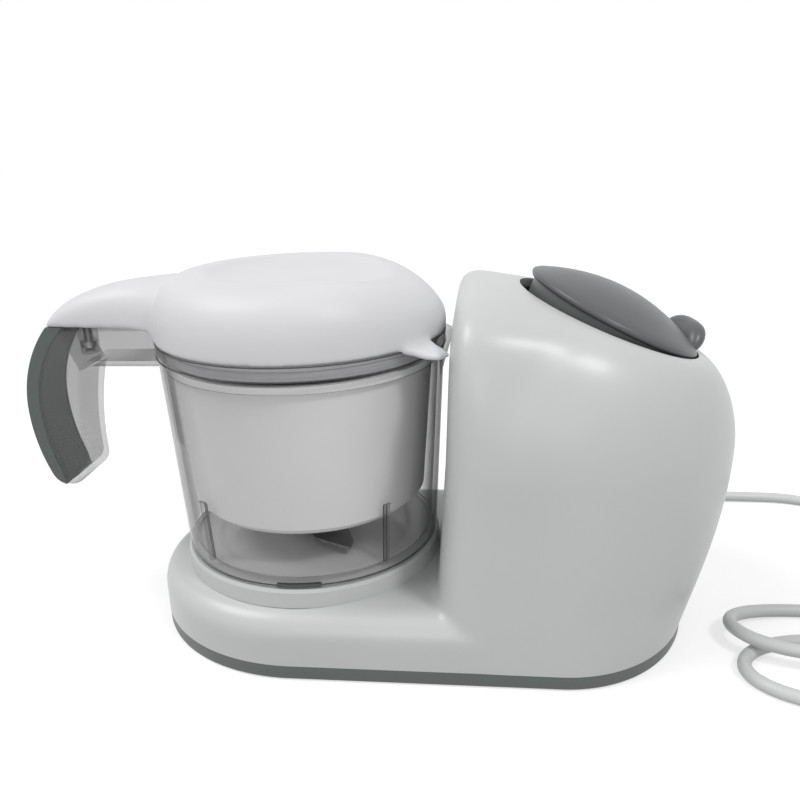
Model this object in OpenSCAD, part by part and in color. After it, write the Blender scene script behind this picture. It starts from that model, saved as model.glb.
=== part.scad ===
// Baby food processor: motor foot, steam tower with water tank, clear jug with lid, basket and blade.
// Millimetres, +Z up. The jug stands over the left end of the foot and the tower stands at +X.
// Inside the modules the jug axis is X = 0, Y = 0; place() moves the whole to its shared frame.

/* [Jug] */
// Radius of the jug wall at the rim band
rim_r = 68; // [62:0.5:74]
// Radius of the jug wall at its floor
floor_r = 63; // [58:0.5:66]
// Height of the jug's underside
jug_z = 41; // [38:0.5:44]
// Height of the jug's rim, where the lid rests
rim_z = 145.8; // [135:0.2:155]
// Thickness of the jug wall
jug_wall = 2.6; // [2:0.1:3.5]
// How far the pouring lip reaches from the jug axis
lip_reach = 71.6; // [69.5:0.1:72]
// Height of the inner ribs
rib_z = 75; // [70:0.5:80]

/* [Handle] */
// Reach of the handle cover from the jug axis
handle_reach = 138; // [132:0.5:146]
// Depth of the grip from the cover's face to the finger gap
grip_depth = 25; // [22:0.2:30]
// Width of the handle across
handle_w = 28; // [24:0.5:34]
// Height of the handle's arm over the jug's rim
arm_rise = 4; // [2:0.2:6]
// Thickness of the handle cover
cover_t = 6.5; // [4:0.5:9]

/* [Lid] */
// Height of the lid's crown
lid_top = 176; // [168:0.5:182]
// Radius of the lid at its lower edge
lid_r = 68.8; // [68:0.1:72]
// Thickness of the lid
lid_wall = 2.4; // [2:0.1:3.5]
// Reach of the lid's tongue over the handle
tongue_reach = 122; // [116:0.5:126]

/* [Foot and tower] */
// Half of the body's width
half_w = 73; // [68:0.5:78]
// Length of the foot's round left end
foot_left = 78; // [72:0.5:84]
// Height of the foot's top
foot_top = 32; // [28:0.5:36]
// Radius of the foot's upper edge
foot_round = 11; // [8:0.5:16]
// Wall thickness of the housing
shell_t = 2.6; // [2:0.1:3.5]
// Distance from the jug axis to the tower's middle
tower_mid = 121; // [112:0.5:130]
// Reach of the tower's round back from its middle, at the base
tower_back = 64; // [58:0.5:70]
// How much further the back bulges at the shoulder
back_bulge = 17.5; // [12:0.5:20]
// Height where the tower's walls turn in to the dome
shoulder_z = 95; // [85:1:105]

/* [Tank opening and cap] */
// Slope of the tank opening, down toward the back
tilt = 22; // [12:0.5:30]
// Radius of the opening
mouth_r = 43.6; // [40:0.1:46]
// Distance from the jug axis to the middle of the opening
mouth_x = 143.3; // [136:0.1:150]
// Height of the middle of the opening
mouth_z = 150.6; // [142:0.1:158]
// Extra slope of the cap's disc against the opening
cap_tilt = 5; // [0:0.5:6]
// Radius of the cap's disc
cap_r = 41.6; // [39:0.1:42]
// Shift of the cap's disc toward the back
cap_shift = 1.3; // [0:0.1:1.6]
// First angle of the cap's grip
grip_from = -8; // [-20:1:10]
// Last angle of the cap's grip
grip_to = 36; // [25:1:50]

/* [Drive] */
// Distance from the jug axis to the motor axis
motor_x = 135; // [125:0.5:140]
// Radius of the large pulley under the jug
big_pulley_r = 24; // [20:0.5:28]
// Radius of the motor pulley
small_pulley_r = 9.6; // [8:0.1:12]
// Running clearance between shaft and bush
run_gap = 0.05; // [0.02:0.01:0.1]
// Length of each blade wing from the shaft
blade_r = 46; // [40:0.5:50]

/* [Control] */
// Height of the knob's axis
knob_z = 62; // [52:1:72]
// Radius of the knob
knob_r = 19; // [15:0.5:21]
// How far the knob stands out of the housing
knob_out = 15; // [10:0.5:18]

/* [Cord] */
// Diameter of the mains cord
cord_d = 6.2; // [5.5:0.1:7]
// Half length of the coil's oval turns
coil_a = 40; // [36:0.5:46]
// Half width of the coil's oval turns
coil_b = 22.5; // [20:0.5:26]

/* [Part shown] */
// One node, or all of them

/* [Hidden] */
$fn = 96;
e = 0.01;
jug_x = (handle_reach - tower_mid - tower_back - back_bulge) / 2;
body_y = -knob_out / 2;

// Ledge in the jug that carries the basket's rim, and the ribs' inner edge
ledge_z = rim_z - 12.8;
ledge_r = rim_r - jug_wall - 2.2;
rib_in = 58.4;

// Heights of the stack under the jug
pad_h = 2.5;
plate_top = 7.5;
foot_under = foot_top - shell_t;
seat_in = 50;
seat_r = floor_r + 1;
band_z = rim_z - 6.3;
rim_in = rim_r - jug_wall;
jug_floor = jug_z + 3;
wall_slope = (rim_r - floor_r) / (band_z - jug_z);

// Tower walls
wall_x = 65.7;
wall_lean = 0.0667;
dome_lean = 0.04;
flat_x = 90;
corner_n = 7;
ring_n = 64;
mouth_land = 1.4;
knob_x = 105;
exit_x = 150;
exit_z = 17.3;
hole_r = 8;
exit_y = half_w * sqrt(1 - pow((exit_x - tower_mid) / tower_back, 2));

// Handle arcs: outer arc of the cover, inner arc of the grip
arc_r = 64;
arc_x = -handle_reach + arc_r;
arc_z = 107.5;
grip_r = 150;
grip_x = grip_depth - handle_reach + grip_r;
grip_z = 84;
arm_z = rim_z + arm_rise;
gap_top = 130;
gap_round = 7;
gap_c = [grip_x - sqrt(pow(grip_r - gap_round, 2) - pow(gap_top - gap_round - grip_z, 2)), gap_top - gap_round];

// Round lower end of the grip, a circle that touches both arcs
end_r = 8.5;
arc_c = [arc_x, arc_z];
grip_c = [grip_x, grip_z];
arcs_apart = norm(grip_c - arc_c);
arcs_dir = (grip_c - arc_c) / arcs_apart;
end_along = (pow(arc_r - end_r, 2) - pow(grip_r + end_r, 2) + pow(arcs_apart, 2)) / (2 * arcs_apart);
end_aside = sqrt(pow(arc_r - end_r, 2) - pow(end_along, 2));
end_c = arc_c + end_along * arcs_dir + end_aside * [arcs_dir.y, -arcs_dir.x];
end_outer = arc_c + arc_r * (end_c - arc_c) / (arc_r - end_r);
end_inner = grip_c + grip_r * (end_c - grip_c) / (grip_r + end_r);
end_dir = (end_outer - end_inner) / norm(end_outer - end_inner);

// Dog and socket
dog_r = 5.4;
dog_gap = 0.5;
shaft_r = 4;
spindle_r = 5;

white = [0.93, 0.93, 0.95];
gray = [0.44, 0.45, 0.46];
dark = [0.16, 0.16, 0.17];
steel = [0.75, 0.76, 0.78];
clear = [0.85, 0.9, 0.95, 0.35];
brass = [0.75, 0.6, 0.3];
black = [0.1, 0.1, 0.1];

module place() translate([jug_x, body_y, 0]) children();

// Frame of the tank opening: its own Z is the opening's axis
module at_mouth() translate([mouth_x, 0, mouth_z]) rotate([0, tilt, 0]) children();

// Solid between stacked rings of equally many points
module loft(rings) {
    n = len(rings[0]);
    last = len(rings) - 1;
    sides = [
        for (j = [0 : last - 1], i = [0 : n - 1])
            let (k = (i + 1) % n, a = j * n, b = a + n)
                each [[a + i, b + i, b + k], [a + i, b + k, a + k]]
    ];
    bottom = [for (i = [0 : n - 1]) i];
    top = [for (i = [0 : n - 1]) last * n + n - 1 - i];
    polyhedron([for (r = rings) each r], concat(sides, [bottom], [top]), convexity = 8);
}

// Tube along points, with its sections square to the path
function unit(v) = v / norm(v);
function heading(p, i) = unit(p[min(i + 1, len(p) - 1)] - p[max(i - 1, 0)]);
function section(c, t, r, n) =
    let (u = unit(cross([0, 0, 1], t)), v = cross(t, u))
        [for (k = [0 : n - 1]) c + r * (cos(360 * k / n) * u + sin(360 * k / n) * v)];
module tube(p, r, n) loft([for (i = [0 : len(p) - 1]) section(p[i], heading(p, i), r, n)]);

// Tower outline at a height: half ellipse at the back, squarer at the jug side
function left_x(z) =
    wall_x + wall_lean * (max(z, foot_top) - foot_top);
function back_reach(z) =
    tower_back + back_bulge * sin(90 * (z - plate_top) / (shoulder_z - plate_top));
function wall_pt(t, z, inset) =
    let (c = cos(t), s = sin(t), n = 2 / corner_n,
         left = tower_mid - left_x(z) - inset, back = back_reach(z) - inset, w = half_w - inset)
        c >= 0 ? [tower_mid + back * c, w * s, z]
        : [tower_mid - left * pow(-c, n), w * sign(s) * pow(abs(s), n), z];
function mouth_pt(t, r, drop) =
    [mouth_x + r * cos(t) * cos(tilt) - drop * sin(tilt), r * sin(t),
     mouth_z - r * cos(t) * sin(tilt) - drop * cos(tilt)];
function slope_z(x) = mouth_z - (x - mouth_x) * tan(tilt);

// Dome: a superelliptic quadrant from the wall over a corner to the opening
function dome_pt(t, f, inset) =
    let (p0 = wall_pt(t, shoulder_z, inset),
         p2 = mouth_pt(t, mouth_r + mouth_land - inset * 0.3, inset),
         top = slope_z(max(p0.x, flat_x)) - inset + 1.2,
         p1 = [p0.x + max(0, -cos(t)) * dome_lean * (top - shoulder_z), p0.y, top],
         m = 2 / (2.3 + 1.3 * max(0, -cos(t))))
        p0 + (p1 - p0) * pow(sin(f), m) + (p2 - p1) * (1 - pow(cos(f), m));
wall_steps = [plate_top, 16, 24, foot_top, 44, 56, 68, 80];
dome_steps = [0, 14, 26, 36, 45, 53, 60, 66, 72, 78, 84, 90];
function tower_rings(inset, low) = concat(
    [for (z = wall_steps) [for (i = [0 : ring_n - 1])
        let (p = wall_pt(360 * i / ring_n, max(z, plate_top), inset)) [p.x, p.y, z == plate_top ? low : z]]],
    [for (f = dome_steps) [for (i = [0 : ring_n - 1]) dome_pt(360 * i / ring_n, f, inset)]]
);

// Foot outline: round left end, straight sides, ending inside the tower
foot_arc = 28;
foot_in = 1.3;
function foot_ring(z, inset) = concat(
    [[tower_mid - 8, half_w - foot_in - inset, z]],
    [for (i = [0 : foot_arc]) let (t = 90 + 180 * i / foot_arc)
        [(foot_left - inset) * cos(t), (half_w - foot_in - inset) * sin(t), z]],
    [[tower_mid - 8, -half_w + foot_in + inset, z]]
);
foot_steps = [0, 15, 30, 45, 60, 75, 90];
function foot_rings(inset, low) = concat(
    [foot_ring(low, inset)],
    [for (f = foot_steps)
        foot_ring(foot_top - foot_round + (foot_round - inset) * sin(f),
                  inset + (foot_round - inset) * (1 - cos(f)))]
);

// Whole base outline, for the plate
function base_outline(inset) = concat(
    [for (i = [0 : foot_arc]) let (t = 90 + 180 * i / foot_arc)
        [(foot_left - inset) * cos(t), (half_w - inset) * sin(t)]],
    [for (i = [0 : foot_arc]) let (t = -90 + 180 * i / foot_arc)
        [tower_mid + (tower_back - inset) * cos(t), (half_w - inset) * sin(t)]]
);

nozzle_w = 16;
nozzle_low = 112;
nozzle_high = 136;
module nozzle_block(grow) {
    translate([0, nozzle_w / 2 + grow, 0]) rotate([90, 0, 0])
        linear_extrude(nozzle_w + 2 * grow)
            polygon([[80, nozzle_low], [80, nozzle_high], [71, nozzle_high], [71, nozzle_high - 6],
                     [71.6, nozzle_low]]);
}

module housing_shell() color(white) difference() {
    union() {
        loft(foot_rings(0, plate_top));
        loft(tower_rings(0, plate_top));
    }
    loft(foot_rings(shell_t, plate_top - 1));
    loft(tower_rings(shell_t, plate_top - 1));
    at_mouth() translate([0, 0, -16]) cylinder(r = mouth_r, h = 40, $fn = ring_n);
    translate([0, 0, foot_under - 2]) cylinder(r = 9.4, h = 8, $fn = 40);
    translate([knob_x, half_w - 12, knob_z]) rotate([-90, 0, 0]) cylinder(r = hole_r, h = 24, $fn = 24);
    translate([knob_x, half_w - 12, knob_z + 32]) rotate([-90, 5, 0]) cylinder(r = 3, h = 24, $fn = 20);
    translate([exit_x, exit_y - 12, exit_z]) rotate([-90, 0, 0]) cylinder(r = 6, h = 24, $fn = 20);
    translate([60, -nozzle_w / 2, nozzle_low]) cube([20, nozzle_w, nozzle_high - nozzle_low]);
    // Vent slots low on the control side
    for (i = [0 : 7]) hull() for (z = [17, 29.6])
        translate([90.2 + 6 * i, half_w - 6, z]) cube([2.6, 12, 1]);
}

pad_spots = [[-42, -38], [-42, 38], [150, -38], [150, 38]];
screw_spots = [[-20, -56], [-20, 56], [132, -52], [132, 52]];

module base_plate() color(gray) difference() {
    translate([0, 0, pad_h]) linear_extrude(plate_top - pad_h) polygon(base_outline(0.2));
    for (p = screw_spots) translate([p.x, p.y, 0]) {
        translate([0, 0, pad_h - e]) cylinder(r = 4.2, h = 2.5);
        cylinder(r = 1.9, h = 12);
    }
}

module foot_pads() color(dark) for (p = pad_spots)
    translate([p.x, p.y, 0]) {
        cylinder(r1 = 8.4, r2 = 9, h = pad_h / 2);
        translate([0, 0, pad_h / 2]) cylinder(r = 9, h = pad_h / 2);
    }

module base_screws() color(steel) for (p = screw_spots)
    translate([p.x, p.y, 0]) difference() {
        union() {
            translate([0, 0, pad_h + 0.3]) cylinder(r = 3.6, h = 2.2 - e);
            translate([0, 0, pad_h + 0.3]) cylinder(r = 1.8, h = 14);
        }
        translate([-0.5, -2.4, pad_h]) cube([1, 4.8, 1.2]);
        translate([-2.4, -0.5, pad_h]) cube([4.8, 1, 1.2]);
    }

// Raised ring that carries and centres the jug
module bowl_seat() color(white) rotate_extrude()
    polygon([[seat_in, foot_top], [seat_r, foot_top], [seat_r, jug_z - 1.5], [seat_r - 0.8, jug_z],
             [seat_in, jug_z]]);

module spindle_bush() color(brass) rotate_extrude()
    polygon([[spindle_r + run_gap, 20], [9, 20], [9, 26], [14, 26], [14, foot_under], [9, foot_under],
             [9, foot_top - 0.5], [spindle_r + run_gap, foot_top - 0.5]]);

motor_low = 24;
motor_high = 70;
module motor_body() color(steel) translate([motor_x, 0, 0]) difference() {
    union() {
        translate([0, 0, motor_low]) cylinder(r = 29, h = 8);
        translate([0, 0, motor_low + 8]) cylinder(r = 26.5, h = 24);
        translate([0, 0, motor_low + 32]) cylinder(r = 29, h = 8);
        translate([0, 0, motor_high - 6]) cylinder(r = 14, h = 6);
        for (s = [-1, 1]) translate([s * 24 - 4, -9, motor_low + 6]) cube([8, 18, 28]);
    }
    translate([0, 0, motor_low - e]) cylinder(r = shaft_r + run_gap, h = 16);
}

module motor_bracket() color(gray) difference() {
    union() {
        translate([motor_x - 36, -38, motor_low - 3]) cube([72, 76, 3]);
        for (sx = [-1, 1], sy = [-1, 1]) translate([motor_x + 30 * sx, 32 * sy, plate_top])
            cylinder(r = 4.5, h = motor_low - 2 - plate_top);
    }
    translate([motor_x, 0, motor_low - 5]) cylinder(r = 12, h = 10);
}

module motor_shaft() color(steel) translate([motor_x, 0, 9.5]) cylinder(r = shaft_r, h = 30);

module pulley(r, bore) difference() {
    translate([0, 0, 10]) rotate_extrude() polygon([[0, 0], [r, 0], [r, 9], [r * 0.8, 9], [r * 0.7, 7],
        [bore + 3, 7], [bore + 3, 9], [0, 9]]);
    cylinder(r = bore, h = 30);
}
module motor_pulley() color(dark) translate([motor_x, 0, 0]) pulley(small_pulley_r, shaft_r);
module driven_pulley() color(dark) pulley(big_pulley_r, spindle_r);

// Flat belt round both pulleys, tangent lines between two arcs
function belt_outline(g) =
    let (lean = acos((big_pulley_r - small_pulley_r) / motor_x))
        concat([for (i = [0 : 24]) let (t = lean + (360 - 2 * lean) * i / 24)
                   (big_pulley_r + g) * [cos(t), sin(t)]],
               [for (i = [0 : 16]) let (t = -lean + 2 * lean * i / 16)
                   [motor_x, 0] + (small_pulley_r + g) * [cos(t), sin(t)]]);
module drive_belt() color(black) translate([0, 0, 11]) linear_extrude(7) difference() {
    polygon(belt_outline(2.2));
    polygon(belt_outline(0.45));
}

module spindle() color(steel) translate([0, 0, 9.5]) cylinder(r = spindle_r, h = 24.3);

module drive_coupling() color(dark) difference() {
    rotate_extrude() polygon([[0, foot_top + 0.6], [12, foot_top + 0.6], [12, 38.5], [11, 39.5], [0, 39.5]]);
    translate([0, 0, foot_top]) cylinder(r = spindle_r, h = 1.8);
    translate([0, 0, 34]) cylinder(r = dog_r + dog_gap, h = 10, $fn = 6);
}

// Water tank and boiler, on the axis of the opening
boiler_r = 34;
boiler_low = -60;
neck_r = 18.3;
well_floor = -10;
module boiler() color(steel) difference() {
    at_mouth() rotate_extrude() polygon([[0, boiler_low], [boiler_r, boiler_low], [boiler_r, well_floor - 2],
        [22, well_floor - 2], [22, well_floor + 1.5], [neck_r, well_floor + 1.5], [neck_r, well_floor - 4],
        [boiler_r - 1.5, well_floor - 4], [boiler_r - 1.5, boiler_low + 1.5], [0, boiler_low + 1.5]]);
    translate([80, 0, 130]) rotate([0, 90, 0]) cylinder(r = 4, h = 30);
}
module boiler_heater() color(brass) at_mouth() translate([0, 0, boiler_low - 9]) difference() {
    cylinder(r = 30, h = 9);
    translate([0, 0, -e]) rotate_extrude() translate([20, 0]) square([5, 4]);
}
module thermostat() color(black) at_mouth() translate([0, 0, boiler_low - 14]) {
    cylinder(r = 8, h = 5);
    translate([-3, -6.5, -4]) cube([6, 13, 4]);
}
module filler_well() color(dark) at_mouth() rotate_extrude()
    polygon([[22.1, well_floor - 2], [43.5, well_floor - 2], [43.5, -4], [42.1, -4], [42.1, well_floor],
             [22.1, well_floor]]);
module steam_tube() color(steel) translate([80, 0, 130]) rotate([0, 90, 0]) difference() {
    cylinder(r = 4, h = 24);
    translate([0, 0, -e]) cylinder(r = 2.6, h = 30);
}
module steam_nozzle() color(white) difference() {
    nozzle_block(0);
    translate([60, 0, 130]) rotate([0, 90, 0]) cylinder(r = 2.6, h = 30);
}

// Controls on the far side
module switch_body() color(black) difference() {
    translate([knob_x - 14, half_w - 23, knob_z - 12]) cube([28, 18, 24]);
    translate([knob_x, half_w - 21, knob_z]) rotate([-90, 0, 0]) cylinder(r = 3.5 + run_gap, h = 30);
}
module knob_bezel() color(gray) translate([knob_x, 0, knob_z]) rotate([-90, 0, 0]) difference() {
    union() {
        translate([0, 0, half_w - 5]) cylinder(r = hole_r - 0.1, h = 5.2);
        translate([0, 0, half_w + 0.1]) cylinder(r1 = 24, r2 = 23, h = 1.5);
    }
    translate([0, 0, half_w - 10]) cylinder(r = 3.5 + run_gap, h = 30);
}
module knob_shaft() color(steel) translate([knob_x, half_w - 20.5, knob_z]) rotate([-90, 0, 0])
    cylinder(r = 3.5, h = 27);
module control_knob() color(white) translate([knob_x, 0, knob_z]) rotate([-90, 0, 0]) difference() {
    union() {
        translate([0, 0, half_w + 2]) cylinder(r = knob_r, h = 5);
        translate([0, 0, half_w + 7]) cylinder(r1 = knob_r, r2 = knob_r - 2, h = 2);
        intersection() {
            translate([-3.5, -knob_r, half_w + 8]) cube([7, 2 * knob_r, knob_out - 8]);
            translate([0, 0, half_w + 2]) cylinder(r = knob_r - 0.5, h = knob_out);
        }
    }
    translate([0, 0, half_w]) cylinder(r = 3.5, h = 6.5);
}
module indicator_lens() color([0.9, 0.35, 0.2]) translate([knob_x, half_w - 5, knob_z + 32])
    rotate([-90, 0, 0]) cylinder(r = 2.9, h = 5.8, $fn = 32);
module control_board() color([0.1, 0.35, 0.2]) {
    board_y = half_w - 21;
    translate([82, board_y, plate_top]) cube([40, 1.6, 34]);
    translate([86, board_y - 8, plate_top + 8]) cube([10, 8, 10]);
    translate([102, board_y - 6, plate_top + 6]) cube([14, 6, 6]);
}
module safety_switch() color(black) translate([34, 36, foot_under - 10]) {
    cube([20, 6.4, 10]);
    translate([4, 2.2, -4]) cube([1.5, 2, 4]);
    translate([14, 2.2, -4]) cube([1.5, 2, 4]);
}

// Jug
function jug_r(z) = floor_r + wall_slope * (z - jug_z);
module handle_side() {
    difference() {
        intersection() {
            translate(arc_c) circle(r = arc_r);
            translate([-160, 20]) square([98, arm_z - 20]);
        }
        // Finger gap, open below, with a round inner corner
        difference() {
            intersection() {
                union() {
                    translate(grip_c) circle(r = grip_r);
                    translate([gap_c.x, 20]) square([60, 120]);
                }
                translate([-160, 20]) square([140, gap_top - 20]);
            }
            difference() {
                polygon([gap_c, gap_c + 2 * gap_round * (gap_c - grip_c) / (grip_r - gap_round),
                         gap_c + [-2, 2] * gap_round, gap_c + [0, 2 * gap_round]]);
                translate(gap_c) circle(r = gap_round);
            }
        }
        polygon([end_outer + 20 * end_dir, end_inner - 20 * end_dir, end_inner - 20 * end_dir - [0, 80],
                 end_outer + 20 * end_dir - [0, 80]]);
    }
    translate(end_c) circle(r = end_r);
}
module cover_side() intersection() {
    handle_side();
    difference() {
        translate([-160, 40]) square([60, arm_z - 40]);
        translate(arc_c) circle(r = arc_r - cover_t);
    }
}
module across(w) translate([0, w / 2, 0]) rotate([90, 0, 0]) linear_extrude(w) children();

module jug() color(clear) difference() {
    union() {
        rotate_extrude() polygon([[7, jug_z], [46, jug_z], [46, 36], [49.2, 36], [49.2, jug_z],
            [floor_r - 1, jug_z], [floor_r, jug_z + 1], [rim_r, band_z], [rim_r + 0.6, band_z],
            [rim_r + 0.6, rim_z - 0.5], [rim_r + 0.1, rim_z], [rim_in, rim_z], [rim_in, ledge_z],
            [ledge_r, ledge_z], [ledge_r, ledge_z - 1], [jug_r(ledge_z - 4) - jug_wall, ledge_z - 4],
            [floor_r - jug_wall, jug_floor], [9, jug_floor], [9, 55], [7, 55]]);
        // Ribs that centre the basket
        for (a = [-132, -48, 48, 132]) rotate([0, 0, a]) across(3)
            polygon([[rib_in, jug_floor - 1], [jug_r(jug_floor) - 1, jug_floor - 1], [jug_r(rib_z) - 1, rib_z],
                     [rib_in + 1, rib_z], [rib_in, rib_z - 2]]);
        // Handle, hollow and closed by the cover
        difference() {
            across(handle_w) difference() {
                handle_side();
                cover_side();
            }
            across(handle_w - 4.8) intersection() {
                translate([-2.5, 2.5]) handle_side();
                translate([-150, 40]) square([66, arm_z - 42.5]);
            }
            translate([0, 0, jug_z]) cylinder(r1 = floor_r - 1, r2 = rim_r - 1.3, h = rim_z - jug_z);
            translate([0, 0, rim_z - e]) cylinder(r = lid_r + 0.6, h = 2 * arm_rise);
        }
        pour_lip(0);
    }
    pour_lip(1.8);
}
module pour_lip(inset) hull() {
    translate([rim_r - 3 + inset / 4, -13 + inset, rim_z - 8]) cube([1, 26 - 2 * inset, 8 + inset]);
    translate([lip_reach - 1 - inset, -2.2 + inset / 3, rim_z - 4 + inset]) cube([1, 4.4 - inset / 1.5, 4]);
    translate([rim_r - 3.2 + inset / 4, -1, rim_z - 24 + 2 * inset]) cube([0.6, 2, 1]);
}
module jug_bush() color(dark) rotate_extrude()
    polygon([[shaft_r + run_gap, jug_z], [7, jug_z], [7, 55], [6.4, 56], [shaft_r + run_gap, 56]]);
module handle_cover() color(gray) across(handle_w) cover_side();
module handle_screw() color(steel) translate([30 - handle_reach, 0, 0]) {
    translate([0, 0, arm_z - 10]) cylinder(r = 2, h = 7.4);
    translate([0, 0, arm_z - 13]) cylinder(r = 4, h = 3);
}

// Blade
module blade_shaft() color(steel) difference() {
    union() {
        translate([0, 0, 40]) cylinder(r = shaft_r, h = 21);
        translate([0, 0, 34.6]) cylinder(r = dog_r, h = 6, $fn = 6);
    }
}
module blade_hub() color(gray) difference() {
    rotate_extrude() polygon([[9.8, 47], [12.5, 47], [12.5, 58], [9, 62], [0, 62.4], [0, 57], [9.8, 57]]);
    translate([0, 0, 50]) cylinder(r = shaft_r, h = 11);
}
module wing() linear_extrude(1.4) difference() {
    polygon([[0, -14], [14, -12.4], [30, -9], [blade_r, 2], [40, 6], [26, 8], [10, 14], [0, 14]]);
    circle(r = 12.5);
}
blade_turn = -60;
module blade() color(steel) rotate([0, 0, blade_turn]) {
    translate([0, 0, 48]) wing();
    translate([0, 0, 52.5]) rotate([0, 0, 180]) wing();
    difference() {
        translate([0, 0, 48]) cylinder(r = 14.2, h = 5.9);
        translate([0, 0, 47]) cylinder(r = 12.5, h = 9);
    }
}

// Lid
lid_flat = 49;
lid_low = rim_z - 7.8;
plug_r = 63.9;
lid_arc = 14;
function lid_line(inset) = [for (i = [0 : lid_arc])
    let (t = 90 * i / lid_arc, m = 2 / 2.4, top = lid_top - 1.4 - inset, low = rim_z + 4.2)
        [lid_flat + (lid_r - inset - lid_flat) * pow(sin(t), m), low + (top - low) * pow(cos(t), m)]];
tongue_low = arm_z;
tongue_top = 25.5 - arm_rise;
function tongue_w(x) = 19 - 4.5 * pow(max(0, (-x - 60) / (tongue_reach - 60)), 2);
function tongue_h(x) = tongue_top * pow(max(0, 1 - pow(max(0, -x - 56) / (tongue_reach - 56), 2.3)), 1 / 1.9);
function tongue_ring(x, inset) = [for (i = [0 : 16])
    let (t = 180 - 180 * i / 16, n = 2 / 3)
        [x, (tongue_w(x) - inset) * sign(cos(t)) * pow(abs(cos(t)), n),
         tongue_low - (inset > 0 ? 1 : 0) + max(1.2, tongue_h(x) - inset + (inset > 0 ? 1 : 0))
         * pow(sin(t), n)]];
tongue_steps = concat([52, 60, 70, 80], [for (f = [0, 0.25, 0.45, 0.62, 0.78, 0.9, 0.97, 1]) 90 + (tongue_reach - 90) * f]);
tongue_in = concat([58, 70, 80], [for (f = [0, 0.25, 0.45, 0.62, 0.78, 0.88]) 90 + (tongue_reach - 90) * f]);
// Locking tab, narrower toward its tip
tab_reach = 81.2;
function tab_half(r) = 5.5 + 4.5 * (tab_reach - r) / (tab_reach - 60);
module tab_side(r) polygon([[r, -tab_half(r)], [tab_reach, -tab_half(tab_reach)],
                            [tab_reach, tab_half(tab_reach)], [r, tab_half(r)]]);
module lid() color(white) difference() {
    union() {
        rotate_extrude() polygon(concat([[0, lid_top]], lid_line(0),
            [[lid_r, rim_z], [plug_r, rim_z], [plug_r, lid_low], [0, lid_low]]));
        loft([for (x = tongue_steps) tongue_ring(-x, 0)]);
        // Locking tab toward the tower
        rotate([0, 0, -32]) {
            translate([0, 0, rim_z + 0.4]) linear_extrude(2) tab_side(60);
            translate([0, 0, rim_z - 3.8]) linear_extrude(5) scale([1, 0.95]) tab_side(70);
        }
    }
    rotate_extrude() polygon(concat([[0, lid_top - lid_wall]], lid_line(lid_wall),
        [[lid_r - lid_wall, rim_z + 3], [plug_r - 2, rim_z + 1], [plug_r - 2, lid_low - 1],
         [0, lid_low - 1]]));
    difference() {
        loft([for (x = tongue_in) tongue_ring(-x, 2.4)]);
        cylinder(r = lid_r + 1.5, h = 2 * lid_top);
    }
}
module lid_seal() color([0.8, 0.8, 0.82]) rotate_extrude()
    translate([plug_r, rim_z - 6.4]) polygon([[0, 0], [0.6, 0], [1, 1], [1, 2], [0.6, 3], [0, 3]]);

// Basket
basket_low = 64;
basket_high = ledge_z + 3;
basket_r = ledge_r - 1.2;
basket_floor_r = rib_in - 1.6;
basket_t = 2;
module steam_basket() color(white) difference() {
    rotate_extrude() polygon([[0, basket_low], [basket_floor_r - 3, basket_low], [basket_floor_r, basket_low + 3],
        [basket_r, ledge_z], [rim_in - 0.8, ledge_z], [rim_in - 0.8, basket_high], [basket_r - basket_t, basket_high],
        [basket_floor_r - basket_t, basket_low + 4], [basket_floor_r - basket_t - 2, basket_low + basket_t],
        [0, basket_low + basket_t]]);
    for (a = [0 : 30 : 330]) rotate([0, 0, a]) translate([22, -1.5, basket_low - 1]) cube([24, 3, 4]);
    for (a = [15 : 60 : 330]) rotate([0, 0, a]) translate([8, -1.5, basket_low - 1]) cube([10, 3, 4]);
}

// Tank cap: sloping disc over a skirt, with a raised grip at the far back edge
skirt_r = cap_r - 2.2;
crown = 7;
module cap_lean() translate([cap_shift, 0, 3]) rotate([0, cap_tilt, 0]) children();
module under_disc() difference() {
    children();
    cap_lean() translate([0, 0, -e]) cylinder(r = 60, h = 40);
}
module tank_cap() color(gray) at_mouth() {
    cap_lean() rotate_extrude()
        polygon(concat([[0, -2.5], [cap_r - 1.2, -2.5], [cap_r - 0.3, -1.9], [cap_r, -0.6]],
            [for (f = [0.98, 0.9, 0.78, 0.62, 0.42, 0.2, 0])
                [cap_r * f, 0.6 + (crown - 0.6) * (1 - f * f)]]));
    under_disc() translate([cap_shift, 0, well_floor]) difference() {
        cylinder(r = skirt_r, h = 22);
        translate([0, 0, -1]) cylinder(r = skirt_r - 2.4, h = 40);
    }
    under_disc() translate([0, 0, -6]) cylinder(r = 12, h = 16);
    rotate([0, 0, grip_from]) rotate_extrude(angle = grip_to - grip_from)
        polygon([[36, 0], [42, 0], [44.6, 2.4], [45, 8], [43, 10.4], [39.5, 9.6], [36.6, 4]]);
}
module cap_plug() color(white) at_mouth() rotate_extrude()
    polygon([[0, -25], [15.5, -25], [16.4, -24], [16.4, -17.5], [17.7, -17.2], [17.7, -15.3], [16.4, -15.3],
             [16.4, -11.7], [17.7, -11.7], [17.7, -6], [0, -6]]);
module cap_seal() color([0.55, 0.2, 0.15]) at_mouth() rotate_extrude()
    polygon([[16.8, -15], [17.6, -15], [17.9, -14.4], [17.9, -12.6], [17.6, -12], [16.8, -12]]);

// Cord: relief at the far wall, run behind the tower and round to the coil beside it, plug
relief_len = 30;
cord_low = cord_d / 2;
turn_r = 25;
run_y = 122;
coil_c = [239, -31];
coil_next = [237, -57];
coil_lift = cord_d + 0.75;
bend_x = 265;
tail_x = 60;
plug_z = 9;
coil_steps = 36;

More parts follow.
